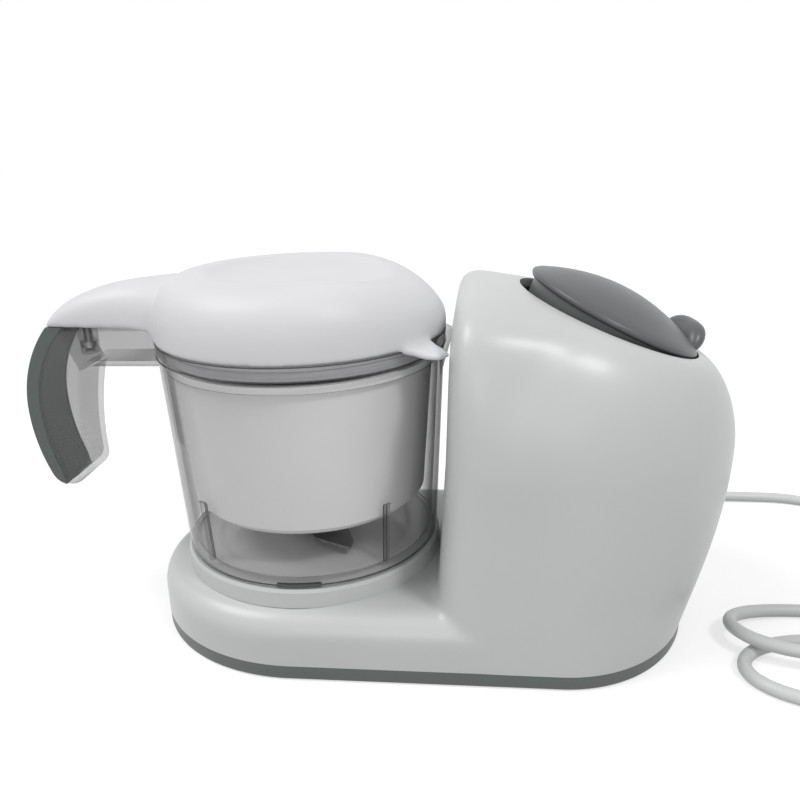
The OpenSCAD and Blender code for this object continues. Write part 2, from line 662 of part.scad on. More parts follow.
function ease(s) = let (f = min(1, max(0, s))) f * f * (3 - 2 * f);
run_end = [bend_x, coil_c.y + coil_b];
bend_r = (run_y - run_end.y) / 2;
cord_start = [exit_x, exit_y + relief_len, exit_z];
cord_run = concat(
    [cord_start],
    [for (i = [0 : 8]) let (t = 180 - 90 * i / 8, s = i / 12)
        [exit_x + turn_r + turn_r * cos(t), run_y - turn_r + turn_r * sin(t),
         exit_z + (cord_low - exit_z) * ease(s)]],
    [for (i = [1 : 4]) let (s = (8 + i) / 12)
        [exit_x + turn_r + (bend_x - exit_x - turn_r) * i / 4, run_y, exit_z + (cord_low - exit_z) * ease(s)]],
    [for (i = [1 : 15]) let (t = 90 - 180 * i / 15)
        [bend_x + bend_r * cos(t), run_y - bend_r + bend_r * sin(t), cord_low]],
    [[coil_c.x + 2, run_end.y, cord_low]]
);

// Coil: an oval that drifts toward the front on its hidden side and rises where it crosses itself
function coil_pt(f) =
    let (c = coil_c + (coil_next - coil_c) * ease((f - 270) / 180),
         lift = ease((f - 90) / 110) - ease((f - 280) / 110))
        [c.x + coil_a * cos(f), c.y + coil_b * sin(f), cord_low + coil_lift * lift];
coil_end = coil_pt(630);
coil_run = concat(
    [[coil_c.x + 2, run_end.y, cord_low], coil_pt(90)],
    [for (f = [90 + 360 / coil_steps : 360 / coil_steps : 630]) coil_pt(f)],
    [for (i = [1 : 8]) coil_end + [tail_x * i / 8, 0, (plug_z - coil_end.z) * ease(i / 8)]],
    [coil_end + [tail_x + cord_d, 0, plug_z - coil_end.z]]
);
plug_at = coil_run[len(coil_run) - 1];

// Least gap between parts of the coil that are not neighbours
coil_gap = min([for (i = [0 : len(coil_run) - 20], j = [i + 12 : len(coil_run) - 1])
    norm(coil_run[i] - coil_run[j])]) - cord_d;
function run_len(p) = let (n = len(p)) n < 2 ? 0 : sum([for (i = [1 : n - 1]) norm(p[i] - p[i - 1])], 0);
function sum(v, i) = i >= len(v) ? 0 : v[i] + sum(v, i + 1);
echo(coil_gap = coil_gap, cord_length = run_len(cord_run) + run_len(coil_run) + relief_len);

module cord_gland() color(white) translate([exit_x, exit_y, exit_z]) rotate([-90, 0, 0]) {
    translate([0, 0, -13]) cylinder(r = 5.8, h = 18);
    translate([0, 0, -15]) cylinder(r = 8, h = 2);
    translate([0, 0, 5]) cylinder(r1 = 5.8, r2 = cord_d / 2 + 0.5, h = relief_len - 5);
}
module power_cord() color(white) tube(cord_run, cord_d / 2, 10);
module cord_coil() color(white) tube(coil_run, cord_d / 2, 6);
module cord_plug() color(white) translate(plug_at) rotate([0, 90, 0]) {
    cylinder(r1 = cord_d / 2 + 0.6, r2 = 5, h = 14);
    translate([0, 0, 14]) cylinder(r1 = 5, r2 = 9, h = 8);
    translate([0, 0, 22]) cylinder(r = 9, h = 16);
}
module plug_pins() color(steel) for (s = [-1, 1])
    translate(plug_at + [38, 9.5 * s * 0.6, 0]) rotate([0, 90, 0]) {
        cylinder(r = 2, h = 17);
        translate([0, 0, 17]) cylinder(r1 = 2, r2 = 1.2, h = 1.5);
    }

place() {
    housing_shell();
    base_plate();
    foot_pads();
    base_screws();
    bowl_seat();
    spindle_bush();
    motor_body();
    motor_bracket();
    motor_shaft();
    motor_pulley();
    drive_belt();
    spindle();
    driven_pulley();
    drive_coupling();
    boiler();
    boiler_heater();
    thermostat();
    filler_well();
    steam_tube();
    steam_nozzle();
    switch_body();
    knob_bezel();
    knob_shaft();
    control_knob();
    indicator_lens();
    control_board();
    safety_switch();
    jug();
    jug_bush();
    handle_cover();
    handle_screw();
    blade_shaft();
    blade_hub();
    blade();
    lid();
    lid_seal();
    steam_basket();
    tank_cap();
    cap_plug();
    cap_seal();
    cord_gland();
    power_cord();
    cord_coil();
    cord_plug();
    plug_pins();
}
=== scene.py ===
"""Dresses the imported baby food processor: camera, cord, smooth mouldings, materials and light."""
import math

import bmesh
import bpy
from mathutils import Matrix, Vector


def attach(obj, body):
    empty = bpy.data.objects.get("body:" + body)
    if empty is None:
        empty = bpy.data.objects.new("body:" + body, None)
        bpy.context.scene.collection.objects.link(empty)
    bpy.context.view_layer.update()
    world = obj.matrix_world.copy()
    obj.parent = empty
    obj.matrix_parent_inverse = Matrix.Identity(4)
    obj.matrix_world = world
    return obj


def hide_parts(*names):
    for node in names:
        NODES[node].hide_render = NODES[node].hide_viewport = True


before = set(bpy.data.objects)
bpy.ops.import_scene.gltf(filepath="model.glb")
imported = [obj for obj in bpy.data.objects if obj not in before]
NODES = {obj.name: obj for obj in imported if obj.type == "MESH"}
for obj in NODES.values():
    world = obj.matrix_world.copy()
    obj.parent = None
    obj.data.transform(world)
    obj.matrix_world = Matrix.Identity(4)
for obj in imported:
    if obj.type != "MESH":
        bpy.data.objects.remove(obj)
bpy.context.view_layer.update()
scene = bpy.context.scene

# Sizes that several pieces share, in millimetres from the jug axis
MM = 0.001
AXIS_X = -32.25
AXIS_Y = -7.5
NEAR_AXIS = 0.02
HALF_W = 73.0
TOWER_MID = 121.0
TOWER_BACK = 64.0
FOOT_LEFT = 78.0
PLATE_TOP = 7.5
RIM_Z = 145.8
ARM_Z = RIM_Z + 4.0
LID_R = 68.8
FINE = 192

# Points and curves


def at(x, y, z):
    """A point given from the jug axis in millimetres, in the shared frame in metres."""
    return Vector(((x + AXIS_X) * MM, (y + AXIS_Y) * MM, z * MM))


def ease(s):
    """Smooth step from 0 to 1."""
    f = min(1.0, max(0.0, s))
    return f * f * (3 - 2 * f)


def spower(value, power):
    """A power that keeps the sign of its base."""
    return math.copysign(abs(value) ** power, value)


def full_turn(count):
    """Angles once round, in equal steps."""
    return [2 * math.pi * i / count for i in range(count)]


def arc(centre, radius, start, end, count):
    """Points on an arc between two angles in degrees."""
    turns = [math.radians(start + (end - start) * i / count) for i in range(count + 1)]
    return [(centre[0] + radius * math.cos(t), centre[1] + radius * math.sin(t)) for t in turns]


def spun(turn, points):
    """Points given as (radius, aside, height), turned about the jug axis by an angle in degrees."""
    c = math.cos(math.radians(turn))
    s = math.sin(math.radians(turn))
    return [(r * c - w * s, r * s + w * c, z) for r, w, z in points]


# Camera at the photograph's place
CAM_AT = (86.0, -368.0, 234.0)
CAM_AZ = math.radians(6.2)
CAM_EL = math.radians(18.6)
CAM_ROLL = math.radians(-1.7)
SENSOR = 36.0
LENS = 36.0
CLIP_START = 0.01


def make_camera():
    level = math.cos(CAM_EL)
    back = Vector((math.sin(CAM_AZ) * level, -math.cos(CAM_AZ) * level, math.sin(CAM_EL)))
    right = Vector((math.cos(CAM_AZ), math.sin(CAM_AZ), 0.0))
    up = back.cross(right)
    turned_right = right * math.cos(CAM_ROLL) + up * math.sin(CAM_ROLL)
    turned_up = up * math.cos(CAM_ROLL) - right * math.sin(CAM_ROLL)
    data = bpy.data.cameras.new("camera")
    data.sensor_width = SENSOR
    data.lens = LENS
    data.clip_start = CLIP_START
    camera = bpy.data.objects.new("camera", data)
    turn = Matrix((turned_right, turned_up, back)).transposed()
    camera.matrix_world = Matrix.Translation(at(*CAM_AT)) @ turn.to_4x4()
    scene.collection.objects.link(camera)
    scene.camera = camera


make_camera()

# Mesh helpers
WELD = 1e-6
SHARP = 40
BEVEL_STEPS = 4
BEVEL_ANGLE = 35


def add_object(name, mesh):
    obj = bpy.data.objects.new(name, mesh)
    scene.collection.objects.link(obj)
    for poly in mesh.polygons:
        poly.use_smooth = True
    return obj


def mesh_from(name, points, faces):
    mesh = bpy.data.meshes.new(name)
    mesh.from_pydata(points, [], faces)
    mesh.update()
    return mesh


def weld(obj):
    """Joins points that coincide and turns all faces outward."""
    bm = bmesh.new()
    bm.from_mesh(obj.data)
    bmesh.ops.remove_doubles(bm, verts=bm.verts, dist=WELD)
    bmesh.ops.recalc_face_normals(bm, faces=bm.faces)
    bm.to_mesh(obj.data)
    bm.free()


def loft(name, rings, capped=True, place=at):
    """A skin over rings of equally many points, counter-clockwise seen from the end they rise to."""
    count = len(rings[0])
    points = [place(*p) for ring in rings for p in ring]
    faces = []
    for j in range(len(rings) - 1):
        a = j * count
        for i in range(count):
            k = (i + 1) % count
            faces.append((a + i, a + k, a + count + k, a + count + i))
    if capped:
        faces.append(tuple(reversed(range(count))))
        faces.append(tuple(range((len(rings) - 1) * count, len(rings) * count)))
    return add_object(name, mesh_from(name, points, faces))


def revolve(name, profile, steps=160, place=at, closed=True):
    """A turned body. The profile runs from low on the outside to high, as (radius, height)."""
    turns = full_turn(steps)
    rings = []
    for radius, height in profile:
        rings.append([(radius * math.cos(t), radius * math.sin(t), height) for t in turns])
    if closed:
        rings.append(rings[0])
    obj = loft(name, rings, capped=not closed, place=place)
    weld(obj)
    return obj


def box(name, centre, size):
    x, y, z = centre
    a, b, c = (full / 2 for full in size)
    corners = [(x - a, y - b), (x + a, y - b), (x + a, y + b), (x - a, y + b)]
    return loft(name, [[(u, v, height) for u, v in corners] for height in (z - c, z + c)])


def slab(name, outline, half):
    """An upright plate: an outline across, as (x, z), given a width along Y."""
    obj = loft(name, [[(x, y, z) for x, z in outline] for y in (half, -half)])
    weld(obj)
    return obj


def hull(name, points):
    """The smallest convex body round the points."""
    bm = bmesh.new()
    for point in points:
        bm.verts.new(at(*point))
    bmesh.ops.convex_hull(bm, input=bm.verts)
    mesh = bpy.data.meshes.new(name)
    bm.to_mesh(mesh)
    bm.free()
    return add_object(name, mesh)


def join(name, *objs):
    """One object made of several, which it takes the place of."""
    bm = bmesh.new()
    for obj in objs:
        bm.from_mesh(obj.data)
        bpy.data.objects.remove(obj)
    mesh = bpy.data.meshes.new(name)
    bm.to_mesh(mesh)
    bm.free()
    return add_object(name, mesh)


def bake(obj):
    """Applies the object's modifiers."""
    graph = bpy.context.evaluated_depsgraph_get()
    mesh = bpy.data.meshes.new_from_object(obj.evaluated_get(graph))
    obj.modifiers.clear()
    obj.data = mesh
    for poly in mesh.polygons:
        poly.use_smooth = True


def melt(obj, voxel, rounds):
    """Fuses overlapping closed shells and softens the corners between them."""
    remesh = obj.modifiers.new("remesh", "REMESH")
    remesh.mode = "VOXEL"
    remesh.voxel_size = voxel
    smooth = obj.modifiers.new("smooth", "SMOOTH")
    smooth.factor = 0.5
    smooth.iterations = rounds
    bake(obj)


def cut(obj, tool):
    """Takes the tool's form out of the object and removes the tool."""
    modifier = obj.modifiers.new("cut", "BOOLEAN")
    modifier.operation = "DIFFERENCE"
    modifier.object = tool
    modifier.solver = "EXACT"
    bake(obj)
    bpy.data.objects.remove(tool)


def slice_off(obj, z):
    """Removes what lies under a height."""
    bm = bmesh.new()
    bm.from_mesh(obj.data)
    everything = bm.verts[:] + bm.edges[:] + bm.faces[:]
    bmesh.ops.bisect_plane(bm, geom=everything, plane_co=(0, 0, z * MM), plane_no=(0, 0, 1), clear_inner=True)
    bm.to_mesh(obj.data)
    bm.free()


def bevel(obj, width):
    """Rounds the object's edges by a modifier."""
    modifier = obj.modifiers.new("bevel", "BEVEL")
    modifier.width = width * MM
    modifier.segments = BEVEL_STEPS
    modifier.limit_method = "ANGLE"
    modifier.angle_limit = math.radians(BEVEL_ANGLE)
    modifier.harden_normals = True


def sharpen(obj, angle=SHARP):
    """Shades edges as sharp where faces meet at more than an angle in degrees."""
    obj.data.set_sharp_from_angle(angle=math.radians(angle))


# Cord, first of the pieces
CORD_D = 6.2
CORD_LOW = CORD_D / 2
CORD_ROUNDING = 5
EXIT_X = 150.0
EXIT_Z = 17.3
EXIT_Y = HALF_W * math.sqrt(1 - ((EXIT_X - TOWER_MID) / TOWER_BACK) ** 2)
RELIEF = 30.0
TURN_R = 25.0
TURN_STEPS = 8
RUN_Y = 122.0
RUN_STEPS = 4
BEND_X = 265.0
BEND_STEPS = 24
COIL_C = (243.0, -31.0)
COIL_NEXT = (243.0, -56.0)
COIL_A = 40.0
COIL_B = 22.5
COIL_STEPS = 54
COIL_LIFT = CORD_D + 0.75
LIFT_RATE = 1.6
LOWER_STEPS = 22
SWAY_STEPS = 14
BULGE = (272.0, -43.5)
BULGE_R = 18.0
BULGE_STEPS = 20
PLUG_AT = (297.0, -79.5, 9.0)
END_STEPS = 8


def half_turn(centre):
    """Left half of an oval turn, from its far side to its near side, with the share that is done."""
    for i in range(COIL_STEPS + 1):
        t = math.pi / 2 + math.pi * i / COIL_STEPS
        yield centre[0] + COIL_A * math.cos(t), centre[1] + COIL_B * math.sin(t), i / COIL_STEPS


def sway(start, end):
    """A shallow S between two points that both head along X."""
    for i in range(1, SWAY_STEPS + 1):
        f = i / SWAY_STEPS
        yield start[0] + (end[0] - start[0]) * f, start[1] + (end[1] - start[1]) * ease(f)


def coil_points():
    """Two oval turns whose right side swings out in a wide bend; the first lies over the second."""
    points = [(x, y, CORD_LOW + COIL_LIFT * ease(LIFT_RATE * f)) for x, y, f in half_turn(COIL_C)]
    bulge = arc(BULGE, BULGE_R, -90, 90, BULGE_STEPS)
    side = list(sway(points[-1], bulge[0])) + bulge[1:]
    side += list(sway(bulge[-1], (COIL_NEXT[0], COIL_NEXT[1] + COIL_B)))
    points += [(x, y, CORD_LOW + COIL_LIFT * (1 - ease(i / LOWER_STEPS))) for i, (x, y) in enumerate(side)]
    points += [(x, y, CORD_LOW) for x, y, f in half_turn(COIL_NEXT) if f > 0]
    return points


def run_points():
    """From the relief's end down to the floor, along the back to the wide bend."""
    start_x = EXIT_X + TURN_R
    path = arc((start_x, RUN_Y - TURN_R), TURN_R, 180, 90, TURN_STEPS)
    path += [(start_x + (BEND_X - start_x) * i / RUN_STEPS, RUN_Y) for i in range(1, RUN_STEPS + 1)]
    drop = CORD_LOW - EXIT_Z
    return [(x, y, EXIT_Z + drop * ease(i / (TURN_STEPS + RUN_STEPS))) for i, (x, y) in enumerate(path)]


def end_points(start):
    """From the coil to the plug."""
    points = []
    for i in range(1, END_STEPS + 1):
        f = i / END_STEPS
        shares = (f, ease(f), ease(f))
        points.append(tuple(a + (b - a) * share for a, b, share in zip(start, PLUG_AT, shares)))
    return points + [(PLUG_AT[0] + CORD_D, PLUG_AT[1], PLUG_AT[2])]


def cord_points():
    """From the relief behind the tower, round to the coil and on to the plug."""
    bend_r = (RUN_Y - COIL_C[1] - COIL_B) / 2
    bend = arc((BEND_X, RUN_Y - bend_r), bend_r, 90, -90, BEND_STEPS)
    points = [(EXIT_X, EXIT_Y + RELIEF, EXIT_Z)] + run_points()
    points += [(x, y, CORD_LOW) for x, y in bend[1:]]
    points += coil_points()
    points += end_points(points[-1])
    return [at(*p) for p in points]


def make_cord():
    points = cord_points()
    data = bpy.data.curves.new("mains_cord", "CURVE")
    data.dimensions = "3D"
    data.bevel_depth = CORD_D / 2
    data.bevel_resolution = CORD_ROUNDING
    data.use_fill_caps = True
    spline = data.splines.new("POLY")
    spline.points.add(len(points) - 1)
    for knot, point in zip(spline.points, points):
        knot.co = (*point, 1.0)
        knot.radius = MM
    spline.use_smooth = True
    obj = bpy.data.objects.new("mains_cord", data)
    scene.collection.objects.link(obj)
    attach(obj, "base")
    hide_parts("power_cord", "cord_coil")
    return obj


mains_cord = make_cord()

# Material helpers
EVEN = (1.0, 1.0, 1.0)
TONE_FROM = 0.3
TONE_TO = 0.7


def material(name, color, roughness, **sockets):
    """A principled material. Sockets that are the same all over are set on the shader itself."""
    mat = bpy.data.materials.new(name)
    mat.use_nodes = True
    shader = mat.node_tree.nodes["Principled BSDF"]
    shader.inputs["Base Color"].default_value = (*color, 1.0)
    shader.inputs["Roughness"].default_value = roughness
    for key, value in sockets.items():
        shader.inputs[key.replace("_", " ")].default_value = value
    return mat


def noise(mat, scale, detail, stretch):
    tree = mat.node_tree
    coords = tree.nodes.new("ShaderNodeTexCoord")
    mapping = tree.nodes.new("ShaderNodeMapping")
    mapping.inputs["Scale"].default_value = stretch
    tex = tree.nodes.new("ShaderNodeTexNoise")
    tex.inputs["Scale"].default_value = scale
    tex.inputs["Detail"].default_value = detail
    tree.links.new(coords.outputs["Object"], mapping.inputs["Vector"])
    tree.links.new(mapping.outputs["Vector"], tex.inputs["Vector"])
    return tex.outputs["Fac"]


def vary(mat, low, high, scale, stretch=EVEN):
    """Slow colour variation between two tones."""
    tree = mat.node_tree
    ramp = tree.nodes.new("ShaderNodeValToRGB")
    ramp.color_ramp.elements[0].position = TONE_FROM
    ramp.color_ramp.elements[0].color = (*low, 1.0)
    ramp.color_ramp.elements[1].position = TONE_TO
    ramp.color_ramp.elements[1].color = (*high, 1.0)
    tree.links.new(noise(mat, scale, 4.0, stretch), ramp.inputs["Fac"])
    tree.links.new(ramp.outputs["Color"], tree.nodes["Principled BSDF"].inputs["Base Color"])


def rough(mat, low, high, scale, stretch=EVEN):
    """Roughness that wanders between two values, as handled mouldings do."""
    tree = mat.node_tree
    span = tree.nodes.new("ShaderNodeMapRange")
    span.inputs["To Min"].default_value = low
    span.inputs["To Max"].default_value = high
    tree.links.new(noise(mat, scale, 2.0, stretch), span.inputs["Value"])
    tree.links.new(span.outputs["Result"], tree.nodes["Principled BSDF"].inputs["Roughness"])


def grain(mat, scale, strength, distance, stretch=EVEN):
    """Fine relief of the moulded or drawn surface."""
    tree = mat.node_tree
    bump = tree.nodes.new("ShaderNodeBump")
    bump.inputs["Strength"].default_value = strength
    bump.inputs["Distance"].default_value = distance
    tree.links.new(noise(mat, scale, 2.0, stretch), bump.inputs["Height"])
    tree.links.new(bump.outputs["Normal"], tree.nodes["Principled BSDF"].inputs["Normal"])


def see_through(mat, face, middle, edge, turn):
    """Clear wall: nearly open where it faces the eye and denser toward its edges."""
    tree = mat.node_tree
    weight = tree.nodes.new("ShaderNodeLayerWeight")
    weight.inputs["Blend"].default_value = 0.5
    ramp = tree.nodes.new("ShaderNodeValToRGB")
    ramp.color_ramp.elements[0].color = (face, face, face, 1.0)
    ramp.color_ramp.elements[1].color = (edge, edge, edge, 1.0)
    knee = ramp.color_ramp.elements.new(turn)
    knee.color = (middle, middle, middle, 1.0)
    tree.links.new(weight.outputs["Facing"], ramp.inputs["Fac"])
    tree.links.new(ramp.outputs["Color"], tree.nodes["Principled BSDF"].inputs["Alpha"])


def tone(color, factor):
    return tuple(min(1.0, c * factor) for c in color)


def moulded(name, color, roughness, spread=0.02, relief=0.05):
    """Moulded plastic or rubber with slow tone changes and a fine grain."""
    mat = material(name, color, roughness)
    vary(mat, tone(color, 1 - spread), tone(color, 1 + spread), scale=18.0)
    rough(mat, roughness * 0.88, roughness * 1.12, scale=60.0)
    grain(mat, scale=2600.0, strength=relief, distance=0.00004)
    return mat


def drawn_metal(name, color, roughness, stretch):
    """Metal whose grain runs along the way it was drawn or ground."""
    mat = material(name, color, roughness, Metallic=1.0)
    vary(mat, tone(color, 0.9), tone(color, 1.06), scale=160.0, stretch=stretch)
    rough(mat, roughness * 0.7, roughness * 1.3, scale=300.0, stretch=stretch)
    grain(mat, scale=900.0, strength=0.12, distance=0.00003, stretch=stretch)
    return mat


def clear_plastic(name, color, face, middle, edge, turn):
    """Clear plastic, given by how dense it is face on, at a knee and at its edges."""
    mat = material(name, color, roughness=0.05, IOR=1.5, Specular_IOR_Level=0.3)
    rough(mat, low=0.03, high=0.08, scale=30.0)
    grain(mat, scale=45.0, strength=0.03, distance=0.0002)
    see_through(mat, face, middle, edge, turn)
    return mat


# Materials
shell_white = moulded("shell_white", (0.56, 0.58, 0.572), roughness=0.34)
lid_white = moulded("lid_white", (0.70, 0.70, 0.715), roughness=0.48)
basket_white = moulded("basket_white", (0.85, 0.85, 0.845), roughness=0.5)
gray_trim = moulded("gray_trim", (0.09, 0.095, 0.10), roughness=0.36, spread=0.05, relief=0.08)
cover_gray = moulded("cover_gray", (0.10, 0.115, 0.113), roughness=0.45, spread=0.05, relief=0.1)
rim_gray = moulded("rim_gray", (0.11, 0.123, 0.12), roughness=0.42, spread=0.05, relief=0.08)
dark_plastic = moulded("dark_plastic", (0.035, 0.036, 0.038), roughness=0.4, spread=0.08, relief=0.08)
rubber = moulded("rubber", (0.02, 0.02, 0.021), roughness=0.7, spread=0.1, relief=0.2)
seal_gray = moulded("seal_gray", (0.55, 0.55, 0.57), roughness=0.55, spread=0.03, relief=0.1)
seal_red = moulded("seal_red", (0.30, 0.07, 0.05), roughness=0.55, spread=0.05, relief=0.1)
cord_white = moulded("cord_white", (0.6, 0.61, 0.605), roughness=0.42, spread=0.02, relief=0.06)
board_green = moulded("board_green", (0.03, 0.16, 0.07), roughness=0.4, spread=0.1, relief=0.1)
lens_amber = moulded("lens_amber", (0.75, 0.22, 0.05), roughness=0.12, spread=0.03, relief=0.02)
motor_paint = moulded("motor_paint", (0.22, 0.23, 0.24), roughness=0.4, spread=0.05, relief=0.1)
# Near-black painted shade for thin lines at the jug's band, under the lid, at its foot, along its ribs and in
# its latch recess
painted_shade_line = moulded("painted_shade_line", (0.06, 0.06, 0.062), roughness=0.3)
blade_steel = drawn_metal("blade_steel", (0.34, 0.34, 0.36), roughness=0.24, stretch=(1.0, 8.0, 1.0))
shaft_steel = drawn_metal("shaft_steel", (0.58, 0.58, 0.6), roughness=0.28, stretch=(1.0, 1.0, 10.0))
boiler_steel = drawn_metal("boiler_steel", (0.55, 0.55, 0.56), roughness=0.32, stretch=(1.0, 1.0, 8.0))
cast_alloy = drawn_metal("cast_alloy", (0.5, 0.5, 0.51), roughness=0.45, stretch=EVEN)
bush_brass = drawn_metal("bush_brass", (0.65, 0.45, 0.16), roughness=0.3, stretch=(1.0, 1.0, 6.0))
clear = clear_plastic("clear", (0.2, 0.204, 0.202), face=0.03, middle=0.1, edge=0.95, turn=0.45)
clear_inner = clear_plastic("clear_inner", (0.08, 0.082, 0.08), face=0.01, middle=0.05, edge=0.9, turn=0.6)
# Painted light: the jug's clear floor is a dense pale veil that lightens the shaded hollow under the basket
clear_floor_painted_light = clear_plastic("clear_floor_painted_light", (0.9, 0.9, 0.9), face=0.55, middle=0.65, edge=0.75, turn=0.72)
clear_grip = clear_plastic("clear_grip", (0.2, 0.205, 0.2), face=0.2, middle=0.36, edge=0.88, turn=0.72)

LOOKS = {
    shell_white: ["housing_shell", "bowl_seat", "steam_nozzle", "control_knob", "cap_plug"],
    lid_white: ["lid"],
    basket_white: ["steam_basket"],
    cover_gray: ["handle_cover"],
    gray_trim: ["tank_cap", "knob_bezel", "motor_bracket", "blade_hub"],
    rim_gray: ["base_plate"],
    dark_plastic: ["motor_pulley", "driven_pulley", "drive_coupling", "thermostat", "filler_well",
                   "switch_body", "safety_switch", "jug_bush"],
    rubber: ["foot_pads", "drive_belt"],
    seal_gray: ["lid_seal"],
    seal_red: ["cap_seal"],
    cord_white: ["cord_gland", "power_cord", "cord_coil", "cord_plug"],
    board_green: ["control_board"],
    lens_amber: ["indicator_lens"],
    motor_paint: ["motor_body"],
    blade_steel: ["blade"],
    shaft_steel: ["base_screws", "motor_shaft", "spindle", "knob_shaft", "handle_screw", "blade_shaft",
                  "plug_pins"],
    boiler_steel: ["boiler", "steam_tube"],
    cast_alloy: ["boiler_heater"],
    bush_brass: ["spindle_bush"],
    clear: ["jug"],
}


def paint(obj, mat):
    obj.data.materials.clear()
    obj.data.materials.append(mat)


def dress_nodes():
    for mat, names in LOOKS.items():
        for name in names:
            for slot in NODES[name].material_slots:
                slot.link = "OBJECT"
                slot.material = mat


dress_nodes()
paint(mains_cord, cord_white)

# Housing: the tower's and the foot's mouldings as one skin with a soft joint between them
UNDER = -8.0
FOOT_TOP = 32.0
FOOT_ROUND = 11.0
FOOT_GAP = 0.25
FOOT_END = TOWER_MID - 8.0
FOOT_STEPS = 96
ROUND_STEPS = 12
SHOULDER_Z = 95.0
BACK_BULGE = 17.5
WALL_X = 65.7
WALL_LEAN = 0.0667
CORNER_N = 7.0
WALL_STEPS = 28
TILT = math.radians(22.0)
MOUTH = (143.3, 0.0, 150.6)
MOUTH_R = 43.6
LAND_R = MOUTH_R + 1.4
DOME_N = 2.1
DOME_SQUARE = 6.0
DOME_SOFT = 0.2
DOME_LEAN = 0.04
DOME_RISE = 1.2
DOME_STEPS = 30
FLAT_X = 105.0
FRONT_DROP = 10.0
WELL_R = 36.0
WELL_SEAT = 13.0
WELL_DEPTH = 64.0
TOOL_TOP = 30.0
VENTS = 8
VENT_X = 91.5
VENT_STEP = 6.0
VENT_Z = 23.8
VENT_SIZE = (2.6, 12.0, 13.6)
NOZZLE_AT = (70.0, 0.0, 124.0)
NOZZLE_SIZE = (20.0, 16.0, 24.0)
HOUSING_VOXEL = 0.0017
HOUSING_ROUNDS = 8


def left_x(z):
    """Place of the tower's wall beside the jug, which leans away from it."""
    return WALL_X + WALL_LEAN * (max(z, FOOT_TOP) - FOOT_TOP)


def back_reach(z):
    """Reach of the tower's round back from its middle, fuller toward the shoulder."""
    return TOWER_BACK + BACK_BULGE * math.sin(math.pi / 2 * (z - PLATE_TOP) / (SHOULDER_Z - PLATE_TOP))


def wall_point(t, z):
    """A point of the tower's wall: round at the back, with square corners beside the jug."""
    c = math.cos(t)
    s = math.sin(t)
    height = max(z, PLATE_TOP)
    if c >= 0:
        return (TOWER_MID + back_reach(height) * c, HALF_W * s, z)
    power = 2 / CORNER_N
    return (TOWER_MID - (TOWER_MID - left_x(height)) * abs(c) ** power, HALF_W * spower(s, power), z)


def in_mouth(u, v, n):
    """A point in the frame of the tank opening, given from the jug axis."""
    return (MOUTH[0] + u * math.cos(TILT) + n * math.sin(TILT), v,
            MOUTH[2] - u * math.sin(TILT) + n * math.cos(TILT))


def tilted(u, v, n):
    """A point in the frame of the tank opening, placed in the shared frame."""
    return at(*in_mouth(u, v, n))


def dome_point(t, f):
    """A point of the dome, from the wall at f 0 to the land round the tank opening at a quarter turn."""
    x0, y0, z0 = wall_point(t, SHOULDER_Z)
    x2, y2, z2 = in_mouth(LAND_R * math.cos(t), LAND_R * math.sin(t), 0.0)
    top = MOUTH[2] - (max(x0, FLAT_X) - MOUTH[0]) * math.tan(TILT) + DOME_RISE
    top -= FRONT_DROP * math.sin(t) ** 2
    side = max(0.0, -math.cos(t))
    back = max(0.0, math.cos(t))
    lean = side * DOME_LEAN * (top - SHOULDER_Z)
    power = 2 / (DOME_N + DOME_SQUARE * side ** 2 - DOME_SOFT * back)
    up = math.sin(f) ** power
    over = 1 - max(0.0, math.cos(f)) ** power
    return (x0 + lean * up + (x2 - x0 - lean) * over, y0 + (y2 - y0) * over,
            z0 + (top - z0) * up + (z2 - top) * over)


def make_tower():
    angles = full_turn(FINE)
    heights = [UNDER] + [PLATE_TOP + (SHOULDER_Z - PLATE_TOP) * i / WALL_STEPS for i in range(WALL_STEPS)]
    rings = [[wall_point(t, z) for t in angles] for z in heights]
    rings += [[dome_point(t, math.pi / 2 * i / DOME_STEPS) for t in angles] for i in range(DOME_STEPS + 1)]
    return loft("tower", rings)


def foot_ring(z, inset):
    """Outline of the foot: an oval left end and straight sides that stop inside the tower."""
    half = HALF_W - FOOT_GAP - inset
    ring = [(FOOT_END, half, z)]
    for i in range(FOOT_STEPS + 1):
        t = math.pi / 2 + math.pi * i / FOOT_STEPS
        ring.append(((FOOT_LEFT - inset) * math.cos(t), half * math.sin(t), z))
    ring.append((FOOT_END, -half, z))
    return ring


def make_foot():
    rings = [foot_ring(UNDER, 0.0), foot_ring(PLATE_TOP, 0.0)]
    for i in range(ROUND_STEPS + 1):
        f = math.pi / 2 * i / ROUND_STEPS
        z = FOOT_TOP - FOOT_ROUND + FOOT_ROUND * math.sin(f)
        rings.append(foot_ring(z, FOOT_ROUND * (1 - math.cos(f))))
    return loft("foot", rings)


def tank_tool():
    """What the tank opening and its well take out of the housing."""
    profile = [(NEAR_AXIS, -WELL_DEPTH), (WELL_R, -WELL_DEPTH), (WELL_R, -WELL_SEAT), (MOUTH_R, -WELL_SEAT),
               (MOUTH_R, TOOL_TOP), (NEAR_AXIS, TOOL_TOP)]
    return revolve("tank_tool", profile, FINE, tilted, closed=False)


def make_housing():
    shell = join("housing", make_tower(), make_foot())
    melt(shell, HOUSING_VOXEL, HOUSING_ROUNDS)
    cut(shell, tank_tool())
    boxes = [box("slot", (VENT_X + VENT_STEP * i, HALF_W, VENT_Z), VENT_SIZE) for i in range(VENTS)]
    boxes.append(box("nozzle_hole", NOZZLE_AT, NOZZLE_SIZE))
    cut(shell, join("slots", *boxes))
    slice_off(shell, PLATE_TOP)
    sharpen(shell)
    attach(shell, "base")
    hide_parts("housing_shell")
    paint(shell, shell_white)


make_housing()

# Lid: turned dome with a shallow dish, tongue over the handle and locking tab, melted together
LID_TOP = 176.0
LID_LOW = RIM_Z + 4.2
LID_FLAT = 49.0
LID_DROP = 1.4
LID_N = 2.4
LID_STEPS = 24
LID_WALL = 2.4
LID_VOXEL = 0.0011
LID_ROUNDS = 10
SAG = 14.0
SAG_X = 16.0
